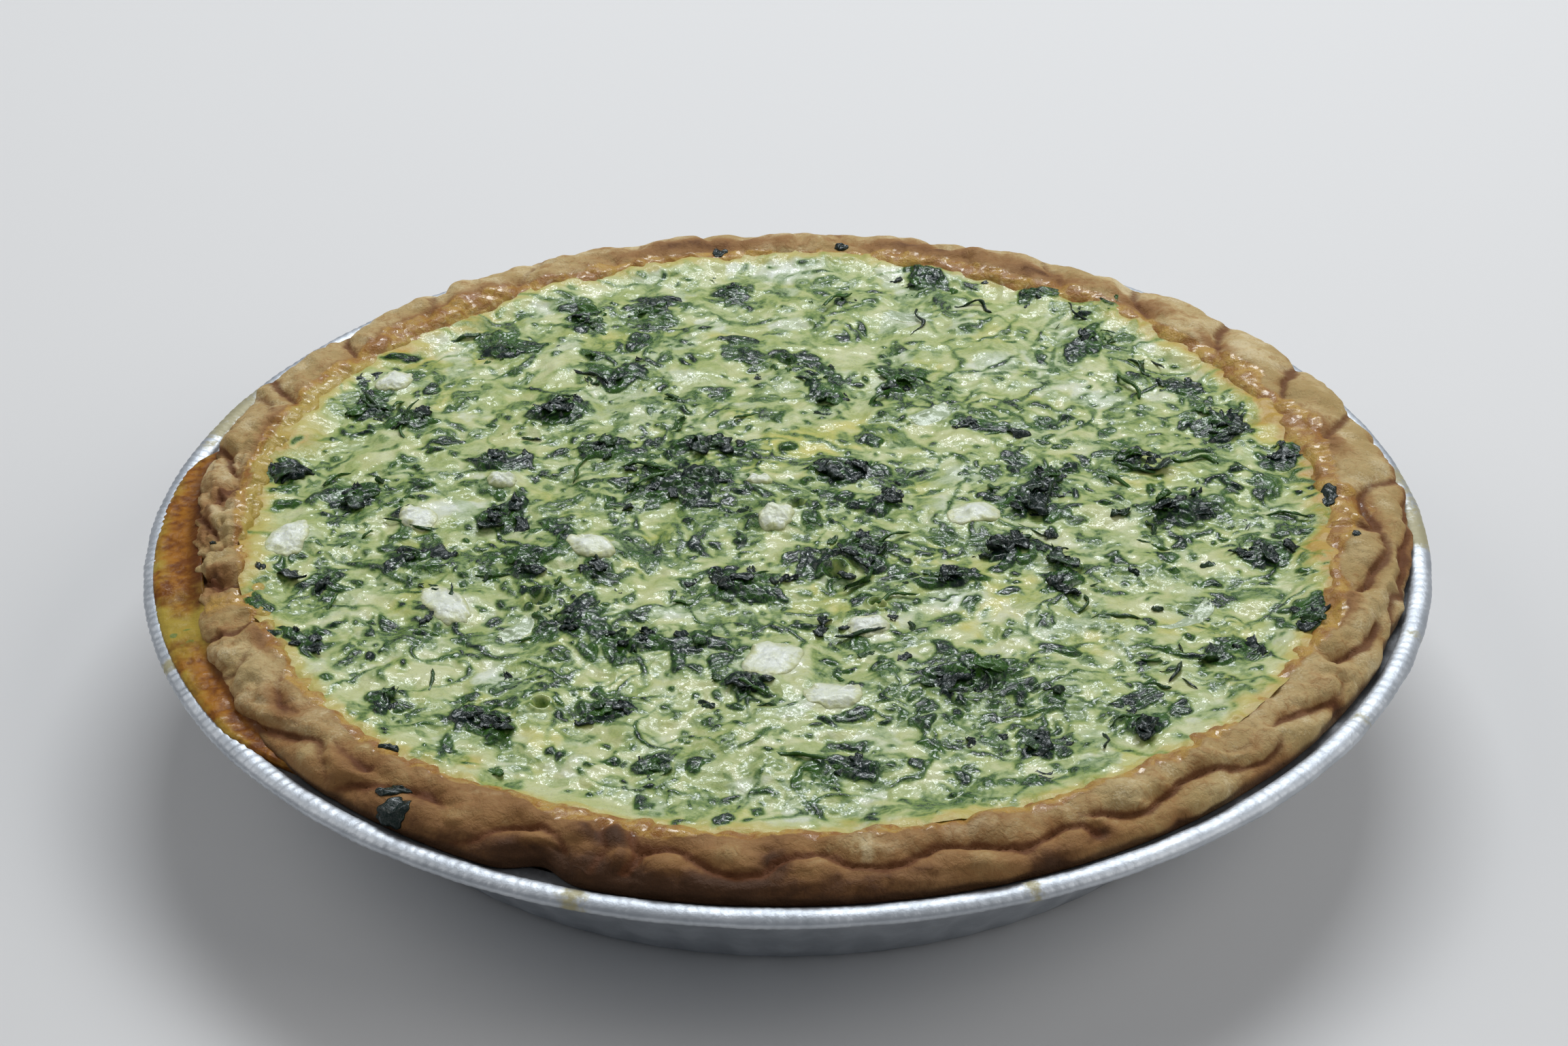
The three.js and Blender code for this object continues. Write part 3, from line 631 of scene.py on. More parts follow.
def pastry_material():
    """Baked pastry: light tan, and lighter on its lobes, where light is painted on their tops; brown in its
    valleys and almost black in its creases, partly browning and partly painted shade; and darkest low on
    its outer face at the front and at its foot by the bead, which is painted shade. It has small flakes,
    pits and blisters. Egg browned on its inner slope, orange to olive and shiny, with a dark line along its
    edge."""
    m = Maker("pastry")
    wide = m.noise(14, 3)
    soft = m.noise(4.5, 4, 0.5)
    fine = m.noise(1.3, 5, 0.8, roughness=0.6)
    grain = m.noise(0.4, 2)
    pale = wide * 0.5 + (1.0 - soft) * 0.5 + grain.swing(0.3)
    # Darker in the dough's hollows: partly browning, partly painted shade.
    valley = m.attribute("valley") + fine.swing(0.5) + soft.swing(0.5)
    # The roll's brown value: browning, with painted shade at the front and in hollows, and painted light on
    # the lobes.
    toast_and_shade = m.attribute("brown") + soft.swing(0.8) + fine.swing(0.4)
    film = m.attribute("film") + fine.swing(0.45) + soft.swing(0.6)
    # Darker along the creases: partly browning, partly painted shade.
    crease = m.attribute("crease") + fine.swing(0.45) + soft.swing(0.3)
    glaze = film.step(0.35, 0.75)
    egg = m.mix((soft + fine.swing(0.6)).step(0.35, 0.65), (0.33, 0.135, 0.022), (0.54, 0.320, 0.060))
    colour = m.layers(
        m.mix((wide + soft.swing(0.8)).step(0.3, 0.72), (0.43, 0.300, 0.120), (0.60, 0.465, 0.230)),
        (pale.step(0.50, 0.66) * 0.7, (0.71, 0.59, 0.36)),
        ((fine * 0.5 + soft * 0.5).step(0.50, 0.66) * 0.55, (0.34, 0.185, 0.060)),
        (valley.step(0.18, 0.85) * 0.72, (0.31, 0.155, 0.046)),
        (toast_and_shade.step(-0.05, 0.45) * 0.45, (0.42, 0.225, 0.070)),
        (toast_and_shade.step(0.08, 0.60) * 0.85, (0.29, 0.138, 0.044)),
        (toast_and_shade.step(0.50, 1.15) * 0.88, (0.145, 0.056, 0.016)),
        (glaze * 0.88, egg),
        (film.step(1.10, 1.55) * 0.75, (0.50, 0.38, 0.082)),
        (film.step(0.18, 0.42) * film.step(0.80, 0.48) * 0.12, (0.19, 0.072, 0.018)),
        # Almost black: painted shade low on the front's outer face, with browning.
        (toast_and_shade.step(0.80, 1.35) * 0.85, (0.055, 0.022, 0.008)),
        (crease.step(0.20, 0.85) * 0.85, (0.135, 0.044, 0.012)),
        # Painted shade at the roll's outer foot, down by the bead.
        (m.attribute("low").step(0.2, 1.0) * 0.85, (0.070, 0.030, 0.011)))
    return m.finish({
        "Base Color": colour, "Roughness": 0.62 - 0.34 * glaze + 0.12 * grain,
        "Normal": m.bump(soft * 0.35 + fine * 0.5 + grain * 0.15, 0.7),
        "Coat Weight": glaze * (0.10 + 0.9 * fine.step(0.50, 0.64)), "Coat Roughness": 0.08,
        "Specular IOR Level": 0.24, "Subsurface Weight": 0.04, "Subsurface Radius": (0.002, 0.001, 0.0005)})


def spill_material():
    """Egg that ran over and browned: amber to orange, dark brown along the roll, where painted shade stands
    for the roll's overhang, yellow in its thick middle, green over a bit of leaf, and shiny in spots."""
    m = Maker("browned_egg")
    soft = m.noise(5, 2)
    fine = m.noise(1.5, 3)
    # Dark along the roll: painted shade under its overhang.
    rim = m.attribute("inner") + soft.swing(0.7)
    yellow = m.attribute("yellow") + fine.swing(0.5) + soft.swing(0.6)
    green = m.attribute("green") + fine.swing(0.8)
    colour = m.layers(
        m.mix((soft * 0.55 + fine * 0.45).step(0.38, 0.62), (0.17, 0.052, 0.006), (0.38, 0.150, 0.014)),
        (rim.step(0.25, 1.0) * 0.85, (0.100, 0.030, 0.006)),
        (yellow.step(0.08, 1.0) * 0.9, (0.42, 0.31, 0.050)),
        (green.step(0.4, 0.8) * 0.8, (0.12, 0.20, 0.045)))
    return m.finish({
        "Base Color": colour, "Roughness": 0.34 + 0.1 * soft, "Normal": m.bump(fine * 0.6 + soft * 0.3, 0.5),
        "Coat Weight": fine.step(0.56, 0.68) * 0.22, "Coat Roughness": 0.10, "Specular IOR Level": 0.10,
        "Subsurface Weight": 0.1, "Subsurface Radius": (0.003, 0.002, 0.0008)})


def foil_material():
    """Rolled aluminium foil: bright, a little scuffed, with fine dents, and stained where custard dried
    on it."""
    m = Maker("foil")
    soft = m.noise(6, 3)
    fine = m.noise(0.7, 3)
    stain = m.attribute("stain") + fine.swing(0.9) + m.noise(2.2, 3).swing(0.9) + soft.swing(0.8)
    stain = stain.step(0.25, 0.85)
    bare = m.mix(soft.step(0.35, 0.7), (0.50, 0.53, 0.565), (0.61, 0.64, 0.675))
    return m.finish({
        "Base Color": m.mix(stain * 0.8, bare, (0.37, 0.32, 0.13)), "Metallic": 1.0 - stain * 0.8,
        "Roughness": 0.44 + 0.22 * fine, "Normal": m.bump(soft * 0.5 + fine * 0.3, 0.25)})


# ---- Foil tin -----------------------------------------------------------------------------------

def tin_face(offset):
    """The radius, at a height, of the face that lies offset inside the tin's outer wall."""
    slope = (FLANGE_RADIUS - BASE_RADIUS) / FLANGE_HEIGHT
    across = offset * np.hypot(slope, 1)
    return lambda z: BASE_RADIUS + z * slope - across


def tin_profile():
    """The tin's section from its underside round to its floor: radius, height, share of the pleats and
    share of the ridges at each point. The bead is an ellipse that starts and ends at the flange's two
    faces."""
    outer, inner = tin_face(0.0), tin_face(FOIL)
    top_out, top_in = FLANGE_HEIGHT, FLANGE_HEIGHT + FOIL
    low = np.pi + np.arcsin((RIM_HEIGHT - top_out) / (BEAD_HEIGHT / 2))
    high = 3 * np.pi + np.arcsin((RIM_HEIGHT - top_in) / (BEAD_HEIGHT / 2))
    around = np.linspace(low, high, 15)
    bead_r = RIM_RADIUS - BEAD_WIDTH / 2 + BEAD_WIDTH / 2 * np.cos(around)
    bead_z = RIM_HEIGHT + BEAD_HEIGHT / 2 * np.sin(around)
    ridged = np.clip(np.sin((around - low) / (high - low) * np.pi) * 1.6, 0, 1)
    floor = np.array([0.5, 0.9, 0.97])
    climb = np.array([0.03, 0.15, 0.5, 0.85, 0.97])
    pleated = np.array([0.2, 1, 1, 1, 0.4])
    inside_z = FOIL + (top_in - FOIL) * climb[::-1]
    stretches = [
        (outer(0) * floor, 0, 0, 0), (outer(top_out * climb), top_out * climb, pleated, 0),
        (outer(top_out) + 0.5, top_out, 0, 0), (bead_r, bead_z, 0, ridged),
        (inner(top_in) + 0.5, top_in, 0, 0), (inner(inside_z), inside_z, pleated[::-1], 0),
        (inner(FOIL) * floor[::-1], FOIL, 0, 0)]
    return np.concatenate([np.broadcast_arrays(*map(np.atleast_1d, row)) for row in stretches], axis=1)


def make_tin(material):
    """The tin: its section carried round the axis. The wall is pleated by PLEAT_DEPTH cos(PLEATS angle),
    and the bead has small dents and faint ridges every 2.1 mm, uneven from one to the next."""
    turns = 2070
    radius, height, wall, on_bead = tin_profile()
    a, r = np.meshgrid(np.arange(turns) / turns * 2 * np.pi, radius, indexing="ij")
    bead_at = RIM_RADIUS - BEAD_WIDTH / 2
    uneven = 0.75 + 0.5 * noise(a * 130, 0, seed=5)
    ridge = np.cos(a * BEAD_RIDGES + 1.5 * noise(a * 40, 0, seed=3)) * uneven
    dent = 0.12 * noise(20 * np.cos(a), 20 * np.sin(a), seed=9)
    push = on_bead * ((0.04 + 0.07 * hump(a, 185, 45)) * ridge + dent)
    away = np.hypot(r - bead_at, height - RIM_HEIGHT) + 1e-6
    z = height + push * (height - RIM_HEIGHT) / away
    r = r + wall * PLEAT_DEPTH * np.cos(PLEATS * a) + push * (r - bead_at) / away
    points, faces = carried_round(r, z, 0, FOIL)
    stain = on_bead * humps(a, BEAD_STAINS)
    values = {"stain": np.concatenate([stain.ravel(), [0, 0]])}
    add_piece("foil_pie_tin", points, faces, material, ["foil_tin"], values)


# ---- Pastry -------------------------------------------------------------------------------------

def roll_shape(angle):
    """Radius, half-width and rise of the roll at an angle: pushed in on the left, low where custard ran
    over it."""
    pushed_in = hump(angle, 191, 22)
    sag = hump(angle, 197, 4.2)
    slow = np.sin(3 * angle + 0.7) + 0.6 * np.sin(5 * angle + 2.2) + 0.4 * np.sin(8 * angle + 4.1)
    return (ROLL_RADIUS - 3.1 * pushed_in, ROLL_HALF_WIDTH - 1.1 * pushed_in + 0.25 * slow - 0.25,
            ROLL_RISE + 0.3 * slow - 1.5 * sag)


def off_place(angle, place, centre, middle):
    """How far points of the unrolled roll are from a listed angle and place: mm along it and mm across
    it."""
    return np.radians(turn_off(angle, centre)) * ROLL_TURN, (place - middle) * ROLL_ARC


def crease_field(a, s):
    """How deep the roll is creased, in mm, and how near a crease is, from 0 to 1. For each straight part
    of a crease, d is the distance to its line on the unrolled surface. The depth is half of the crease's
    own times exp(-(d / 2.6)^2) and half times (1 - sqrt(d / 5))^2, a wide valley with a sharp floor
    between rounded lobes; the deepest counts."""
    depth = np.zeros_like(a)
    near = np.zeros_like(a)
    wander = 0.6 * noise(a * 21, s * 6, 0, 301)
    wobble = 0.5 * noise(a * 33, s * 9, 0, 302)
    for points in CREASES:
        for (start, place, first), (end, end_place, last) in zip(points[:-1], points[1:]):
            x, y = off_place(a, s, start, place)
            x, y = x + wander, y + wobble
            dx, dy = np.radians(end - start) * ROLL_TURN, (end_place - place) * ROLL_ARC
            t = np.clip((x * dx + y * dy) / (dx * dx + dy * dy), 0, 1)
            d = np.hypot(x - t * dx, y - t * dy)
            deep = first + (last - first) * t
            valley = bell(d, 2.6) + (1 - np.sqrt(np.clip(d / 5.0, 0, 1))) ** 2
            depth = np.maximum(depth, deep * 0.5 * valley)
            near = np.maximum(near, bell(d, 1.15) * np.minimum(deep / 2.4, 1.1))
    return depth, near


def dough_relief(a, s, x, y, z, depth):
    """How far the dough stands out of the roll's plain section at points of it, and how deep a hollow
    lies there, in mm: puffs, folds |noise| with sharp hollows, ripples, wrinkles, pits, flaky layers,
    blisters and lobes, less the creases."""
    left, saddle = hump(a, *LEFT), hump(a, *SADDLE)
    flaky = 0.5 + 1.0 * left + 0.3 * hump(a, 355, 20)
    puff = 0.6 * rough(x, y, z, 10, 2, 11)
    folds = (0.75 + 0.3 * left) * (np.abs(rough(x, y, z, 6.5, 2, 13)) * 2.2 - 0.5) * (1 - 0.6 * saddle)
    ripple = flaky * 0.6 * np.abs(rough(x, y, z * 2.2, 3.2, 3, 23)) - 0.10
    wrinkles = 1.3 * np.abs(noise(a * 56, s * 6, 0, 27)) + 1.0 * np.abs(noise(a * 40, s * 13, 0, 28)) - 0.7
    wrinkles = left * (1 - saddle) * wrinkles
    skin = 0.5 * saddle * (np.abs(noise(a * 130, s * 16, 0, 29)) - 0.3)
    pits = -0.4 * flaky * step(rough(x, y, z, 1.7, 2, 31), 0.30, 0.70)
    layers = 0.28 * flaky * np.tanh(6 * rough(x * 0.5, y * 0.5, z * 2.5, 2.6, 2, 41))
    blister = 0.16 * step(s, 0.47, 0.55) * step(s, 0.86, 0.76) * step(rough(x, y, z, 2.7, 2, 43), 0.1, 0.5)
    proud = puff + folds + ripple + wrinkles + skin + pits + layers + blister
    proud = proud - depth * (1 - 0.5 * saddle) + 0.35
    for at, place, wide, high in LOBES:
        proud = proud + high * bell(np.hypot(*off_place(a, s, at, place)), wide)
    return proud, depth + 1.6 * np.clip(-(folds + ripple + wrinkles + pits), 0, 1.2)


def over_the_rim(r):
    """The lowest that the roll's outside may lie at a radius: just over the bead's round top, or the
    flange."""
    across = (r - RIM_RADIUS + BEAD_WIDTH / 2) / (BEAD_WIDTH / 2 + 0.2)
    bead = RIM_HEIGHT + 0.25 + BEAD_HEIGHT / 2 * np.sqrt(np.clip(1 - across**2, 0, 1))
    return np.where(r > RIM_RADIUS - BEAD_WIDTH - 0.2, bead, ROLL_FOOT)


def crust_surface(a, s):
    """Radius and height of the roll's surface at an angle and a place, how near a crease is and how deep
    a hollow it lies in. The point is (radius + (half-width + p) cos t, level + (rise + p) sin t), where
    t runs from the outer foot to the inner one and p is how far the dough stands out there. The roll
    gapes at two places and laps outwards at the listed ones."""
    radius, half_width, rise = roll_shape(a)
    t = ROLL_START + (ROLL_END - ROLL_START) * s
    depth, near = crease_field(a, s)
    depth = depth * (1 - 0.70 * hump(a, 98, 58) * step(s, 0.30, 0.16)) * (1 - 0.45 * hump(a, 92, 52))
    x, y = (radius + half_width * np.cos(t)) * np.cos(a), (radius + half_width * np.cos(t)) * np.sin(a)
    plain = ROLL_LEVEL + rise * np.sin(t)
    proud, hollow = dough_relief(a, s, x, y, plain, depth)
    ends = np.sin(np.pi * np.clip(s, 0, 1)) ** 0.4
    proud = ends * np.minimum(proud, 0.8 + 0.25 * proud)
    gape = humps(a, [(339, 3.0, 0.7), (248.8, 2.3, 3.2)])
    half_width = half_width - np.where(np.cos(t) > 0, gape * np.cos(t), 0)
    rise = np.where(np.sin(t) > 0, rise, ROLL_DROP)
    r = radius + (half_width + proud) * np.cos(t) + ends * 0.4 * rough(x, y, plain, 6, 2, 47)
    r = r + 0.9 * hump(a, 353, 11) * bell(s - 0.10, 0.06)
    r = r + humps(a, LAPS) * bell(s - 0.15, 0.13) * ends
    z = ROLL_LEVEL + (rise + proud) * np.sin(t)
    return r, np.where(s < 0.5, np.maximum(z, over_the_rim(r)), z), near, hollow


def crust_colours(a, s, x, y):
    """How far egg film covers the roll, and how dark it is at points of it, from browning and painted shade.
    The film starts at an uneven place and thickens inwards; the roll is darkest at the front, most on its
    outer face, browning with painted shade, and in the listed places, browned spots and painted shade in
    hollows; it is lighter on the lobes, painted light on their tops."""
    reach = 0.49 + humps(a, FILM_EDGE) + 0.07 * rough(x, y, 0, 7, 3, 53)
    film = step(s, reach, reach + 0.13) + (0.2 + 0.5 * hump(a, 180, 26)) * step(s, 0.58, 0.69)
    film = film + 0.6 * hump(a, *SADDLE) * step(s, 0.12, 0.26) + 1.1 * hump(a, 177, 24) * step(s, 0.45, 0.57)
    # Darker at the front, most on the outer face, which is turned from the light: browning and painted
    # shade.
    brown = 1.35 * hump(a, 258, 36) * (0.52 + 0.48 * step(s, 0.40, 0.18))
    brown = brown + humps(a, [(180, 30, 0.2), (320, 30, 0.12), (95, 50, 0.14)])
    # Listed darker places: browned spots, and painted shade in hollows.
    for at, wide, place, tall in BROWNED_AND_SHADED_PLACES:
        brown = brown + 0.8 * hump(a, at, wide) * bell(s - place, tall)
    # Less brown on the plump lobes: painted light on their tops.
    for at, place, wide, _ in LOBES:
        brown = brown - 0.35 * bell(np.hypot(*off_place(a, s, at, place)), wide * 1.1)
    return film, brown


def make_crust(material):
    """The pastry: the roll's surface carried round, closed through the case's wall, floor and cavity."""
    turns, steps = 1300, 60
    a, s = np.meshgrid(np.arange(turns) / turns * 2 * np.pi, np.linspace(0, 1, steps), indexing="ij")
    r, z, near, hollow = crust_surface(a, s)
    outer, cavity = tin_face(FOIL + GAP), tin_face(FOIL + GAP + PASTRY)
    floor, cavity_floor = GAP + FOIL, GAP + FOIL + PASTRY
    wall_z = np.array([floor, 12.0, CASE_NECK])
    inside_z = np.array([CASE_NECK, 12.0, cavity_floor])
    shoulder = np.minimum(outer(ROLL_FOOT), r[:, :1] - 0.6)
    ones = np.ones((turns, 1))
    full_r = np.concatenate([ones * outer(wall_z), shoulder, r, ones * cavity(inside_z)], axis=1)
    full_z = np.concatenate([ones * wall_z, ones * ROLL_FOOT, z, ones * inside_z], axis=1)
    points, faces = carried_round(full_r, full_z, floor, cavity_floor)
    film, brown = crust_colours(a, s, r * np.cos(a), r * np.sin(a))
    # valley and crease darken hollows and creases, partly as painted shade; low is painted shade at the
    # roll's outer foot; brown holds browning and painted shade.
    values = {"crease": near * (1 - 0.6 * hump(a, 92, 55)), "valley": hollow / 3.0, "film": film,
              "low": step(z, 33.0, 31.0) * (s < 0.4), "brown": brown}
    beside = ((0, 0), (len(wall_z) + 1, len(inside_z)))
    values = {k: np.concatenate([np.pad(v, beside, mode="edge").ravel(), [0, 0]]) for k, v in values.items()}
    add_piece("crimped_crust", points, faces, material, ["crust"], values)


def edge_radius(angle):
    """Where the custard's surface meets the roll: the section's point FILL_CLING above its widest level,
    or at 0.93 of its rise where that is lower."""
    radius, half_width, rise = roll_shape(angle)
    return radius - half_width * np.sqrt(1 - np.minimum(FILL_CLING / rise, 0.93) ** 2)


# ---- Filling ------------------------------------------------------------------------------------

def custard_height(x, y):
    """Height of the custard without its spinach: a low dome, soft swells, mounds over the cheese and
    under the clumps, smaller bumps, burst bubbles, and a rise of 1.2 mm where it clings to the pastry."""
    dome = 1 - (x * x + y * y) / FILL_RADIUS**2
    swell = np.sin(x / 11 + 1.2) * np.sin(y / 13 + 0.5) + 0.6 * np.sin((x + y) / 7.5) * np.sin((x - y) / 9)
    z = FILL_LEVEL + FILL_DOME * dome + 0.3 * swell
    z = z + 0.75 * rough(x, y, 0, 8.5, 2, 61) + 0.38 * rough(x, y, 0, 3.4, 2, 67)
    z = z + 0.11 * rough(x, y, 0, 1.3, 2, 71)
    for mound, high in zip(MOUNDS, CHEESE[:, 4]):
        z = z + 0.75 * high * np.exp(-in_ellipse(x, y, mound) / 1.9)
    for *clump, high in CLUMPS:
        z = z + 0.35 * high * np.exp(-in_ellipse(x, y, clump))
    for bx, by, br in BUBBLES:
        d = np.hypot(x - bx, y - by)
        z = z - 2.2 * bell(d, br) + 0.6 * bell(d - 1.9 * br, 0.6 * br)
    return z + 1.2 * (1 - step(edge_radius(np.arctan2(y, x)) - np.hypot(x, y), 0, 7))


def spinach_share(x, y):
    """How thickly chopped spinach lies at a point, from 0 to 1: uneven, thicker in the middle, thin in
    the clear places, under the cheese and at the pastry, and thick in the clumps."""
    angle, r = np.arctan2(y, x), np.hypot(x, y)
    share = 0.20 + 0.62 * step(rough(x, y, 0, 10, 4, 91, gain=0.62), -0.16, 0.40)
    share = share * (0.82 + 0.52 * bell(r, 55) + 0.25 * hump(angle, 40, 50) * step(r, 50, 80))
    for cx, cy, cr in CLEAR:
        share = share * (1 - 0.90 * bell(np.hypot(x - cx, y - cy), cr * 0.8))
    for *clump, high in CLUMPS:
        share = np.maximum(share, (0.4 + 0.4 * high) * np.exp(-(in_ellipse(x, y, clump) / 1.25) ** 1.6))
    for mound in MOUNDS:
        share = share * (1 - 0.95 * np.exp(-in_ellipse(x, y, mound) / 0.9))
    return share * step(edge_radius(angle) - r, 0.5, 7)


def scatter(count, seed, power=1.0):
    """Points drawn over the custard, kept where a second draw is below the spinach's share^power there."""
    rng = np.random.default_rng(seed)
    kept = np.zeros((0, 2))
    while len(kept) < count:
        p = rng.uniform(-98, 98, (count * 4, 2))
        kept = np.concatenate([kept, p[rng.random(len(p)) < spinach_share(p[:, 0], p[:, 1])**power]])
    return kept[:count]


def in_clumps(thickness, seed):
    """Points drawn in the listed clumps, thickness of them to a square mm: x, y, how high each may
    stand, and the clump's turn in radians."""
    rng = np.random.default_rng(seed)
    found = []
    for cx, cy, length, width, turn, high in CLUMPS:
        number = int(length * width * thickness) + 2
        p = rng.normal(0, 0.42, (number, 2))
        a = np.radians(turn)
        px, py = p[:, 0] * length / 2 * 1.2, p[:, 1] * width / 2 * 1.2
        x, y = cx + px * np.cos(a) - py * np.sin(a), cy + px * np.sin(a) + py * np.cos(a)
        tops = high * np.exp(-1.1 * (p**2).sum(axis=1))
        found.append(np.stack([x, y, tops, np.full(number, a)], axis=1))
    return np.concatenate(found)


def leaf_list():
    """The bits of leaf in the custard: x, y, half-length, half-width, turn, how high its top stands over
    the custard or, below 0, how deep it lies, and its bend. Large ones make up the clumps, and then
    there are the listed kinds, which lie lower towards the back."""
    rng = np.random.default_rng(11)
    x, y, tops, turn = in_clumps(0.13, 12).T
    half = np.clip(rng.lognormal(0.80, 0.33, len(x)), 1.2, 4.2)
    rows = [[x, y, half, half * rng.uniform(0.4, 0.75, len(x)), turn + rng.normal(0, 0.8, len(x)),
             tops * rng.uniform(0.25, 1.0, len(x)), rng.normal(0, 0.5, len(x))]]
    for count, power, size, spread, shape, top, bend, seed in LEAF_KINDS:
        x, y = scatter(count, seed, power).T
        half = np.exp(rng.normal(size, spread, count))
        rows.append([x, y, half, half * rng.uniform(*shape, count), rng.uniform(0, 2 * np.pi, count),
                     rng.normal(*top, count) - 0.28 * step(y, 25, 80), rng.normal(0, bend, count)])
    return np.concatenate([np.stack(row, axis=1) for row in rows])


def work_out_filling():
    """The filling on a raster: its height and how far leaf stands above the custard, or below 0 how deep
    it lies. Each bit of leaf is an ellipse in coordinates bent by noise. From its edge inwards it rises
    at 1.2 in 1 to its top, which has folds of 0.1 mm every 1.2 mm across a large one. The highest leaf
    counts, crumpled by ridges |noise|. The surface is the greater of custard and leaf, rounded where
    they meet: level + (leaf + sqrt(leaf^2 + 0.03)) / 2."""
    line = np.arange(int(2 * REACH / PITCH) + 1) * PITCH - REACH
    x, y = np.meshgrid(line, line, indexing="ij")
    bent_x = x + 1.0 * rough(x, y, 0, 3.0, 2, 401) + 2.2 * noise(x / 15, y / 15, 0, 403)
    bent_y = y + 1.0 * rough(x, y, 0, 3.0, 2, 405) + 2.2 * noise(x / 15, y / 15, 0, 407)
    leaf = np.full_like(x, -1.6)
    for cx, cy, half_length, half_width, turn, top, bend in leaf_list():
        far = half_length + 4.5
        window = tuple(slice(*(int(np.clip((c + e + REACH) / PITCH, 0, len(line))) for e in (-far, far)))
                       for c in (cx, cy))
        px, py = bent_x[window] - cx, bent_y[window] - cy
        u = (px * np.cos(turn) + py * np.sin(turn)) / half_length
        v = (py * np.cos(turn) - px * np.sin(turn) - bend * (u * u - 0.3)) / half_width
        inwards = (1 - np.sqrt(u * u + v * v)) * half_width
        folds = 0.10 * np.cos(v * half_width * 5.2 + 3 * u) if half_width > 0.7 else 0.0
        leaf[window] = np.maximum(leaf[window], np.minimum(top + folds, 1.2 * inwards))
    ridge = 0.55 - np.abs(rough(x, y, 0, 2.3, 2, 411)) * 1.6
    sharp = 0.5 - np.abs(noise(x / 1.05, y / 1.05, 0, 413)) * 1.5
    crumple = step(leaf, -0.9, 0.2) * (0.34 * ridge + 0.13 * sharp) * (0.45 + 0.6 * step(leaf, 0, 1))
    leaf = leaf + crumple + 0.10 * rough(x, y, 0, 6, 2, 417)
    height = custard_height(x, y) + 0.5 * (leaf + np.sqrt(leaf**2 + 0.03))
    return np.minimum(height, HIGHEST_LEAF + 0.25 * (height - HIGHEST_LEAF)), leaf


HEIGHT_RASTER, LEAF_RASTER = work_out_filling()


def read_raster(raster, x, y):
    """The raster's value at points, mixed from the four raster points round each."""
    i, j = (x + REACH) / PITCH, (y + REACH) / PITCH
    i0, j0 = np.floor(i).astype(int), np.floor(j).astype(int)
    di, dj = i - i0, j - j0
    return (raster[i0, j0] * (1 - di) * (1 - dj) + raster[i0 + 1, j0] * di * (1 - dj)
            + raster[i0, j0 + 1] * (1 - di) * dj + raster[i0 + 1, j0 + 1] * di * dj)


def custard_colours(x, y):
    """How white, yellow and browned the custard is at points: in and round the listed patches, by noise,
    whiter at the back and the front, and browner within a few mm of the pastry, on the left and on the
    right."""
    angle, r = np.arctan2(y, x), np.hypot(x, y)
    white = 0.9 * sum(np.exp(-in_ellipse(x, y, mound) / 1.8) for mound in MOUNDS)
    white = white + 1.5 * sum(np.exp(-in_ellipse(x, y, patch)) for patch in FOAM)
    white = white + 0.6 * step(rough(x, y, 0, 7, 3, 83), 0.10, 0.45)
    white = white + 0.30 * step(y, 10, 90) + 0.25 * step(y, -50, -95)
    yellow = 0.7 * step(rough(x, y, 0, 13, 3, 87), 0.10, 0.55)
    for px, py, pr in YELLOW:
        yellow = yellow + 0.8 * bell(np.hypot(x - px, y - py), pr)
    gap = edge_radius(angle) - r + 1.9 * rough(x, y, 0, 5, 3, 89)
    brown = (0.85 - 0.40 * hump(angle, 160, 50)) * (1 - step(gap, -0.5, 3.6))
    brown = brown + (1 - step(gap, 1, 9)) * (humps(angle, [(176, 26, 0.60), (6, 28, 0.60)]) + 0.12)
    for at, far, size in BROWNED:
        px, py = far * np.cos(np.radians(at)), far * np.sin(np.radians(at))
        brown = brown + 0.9 * bell(np.hypot(x - px, y - py), size)
    return {"white": white, "yellow": yellow, "brown": brown}


def closed_tile(top, edge):
    """Points and faces of a square grid of points, closed by walls from its border down the cavity to
    its floor. At each level of the walls a border point keeps its share of the way out to the edge."""
    n = len(top)
    ring = border(n, n)
    cavity = tin_face(FOIL + GAP + PASTRY + GAP)
    floor = GAP + FOIL + PASTRY + GAP
    top = top.reshape(-1, 3)
    points, faces, above = [top], [grid_faces(n, n)], ring
    for level, wide in (UNDER_ROLL, (CASE_NECK, cavity(CASE_NECK)), (floor, cavity(floor))):
        share = wide / edge.ravel()[ring]
        below = sum(len(p) for p in points) + np.arange(len(ring))
        x, y = top[ring, 0] * share, top[ring, 1] * share
        points.append(np.stack([x, y, np.full(len(ring), level)], axis=1))
        faces.append(wall_faces(above, below))
        above = below
    faces.append(fan_faces(above, sum(len(p) for p in points))[:, ::-1])
    points.append(points[-1].mean(axis=0, keepdims=True))
    return np.concatenate(points), faces, ring


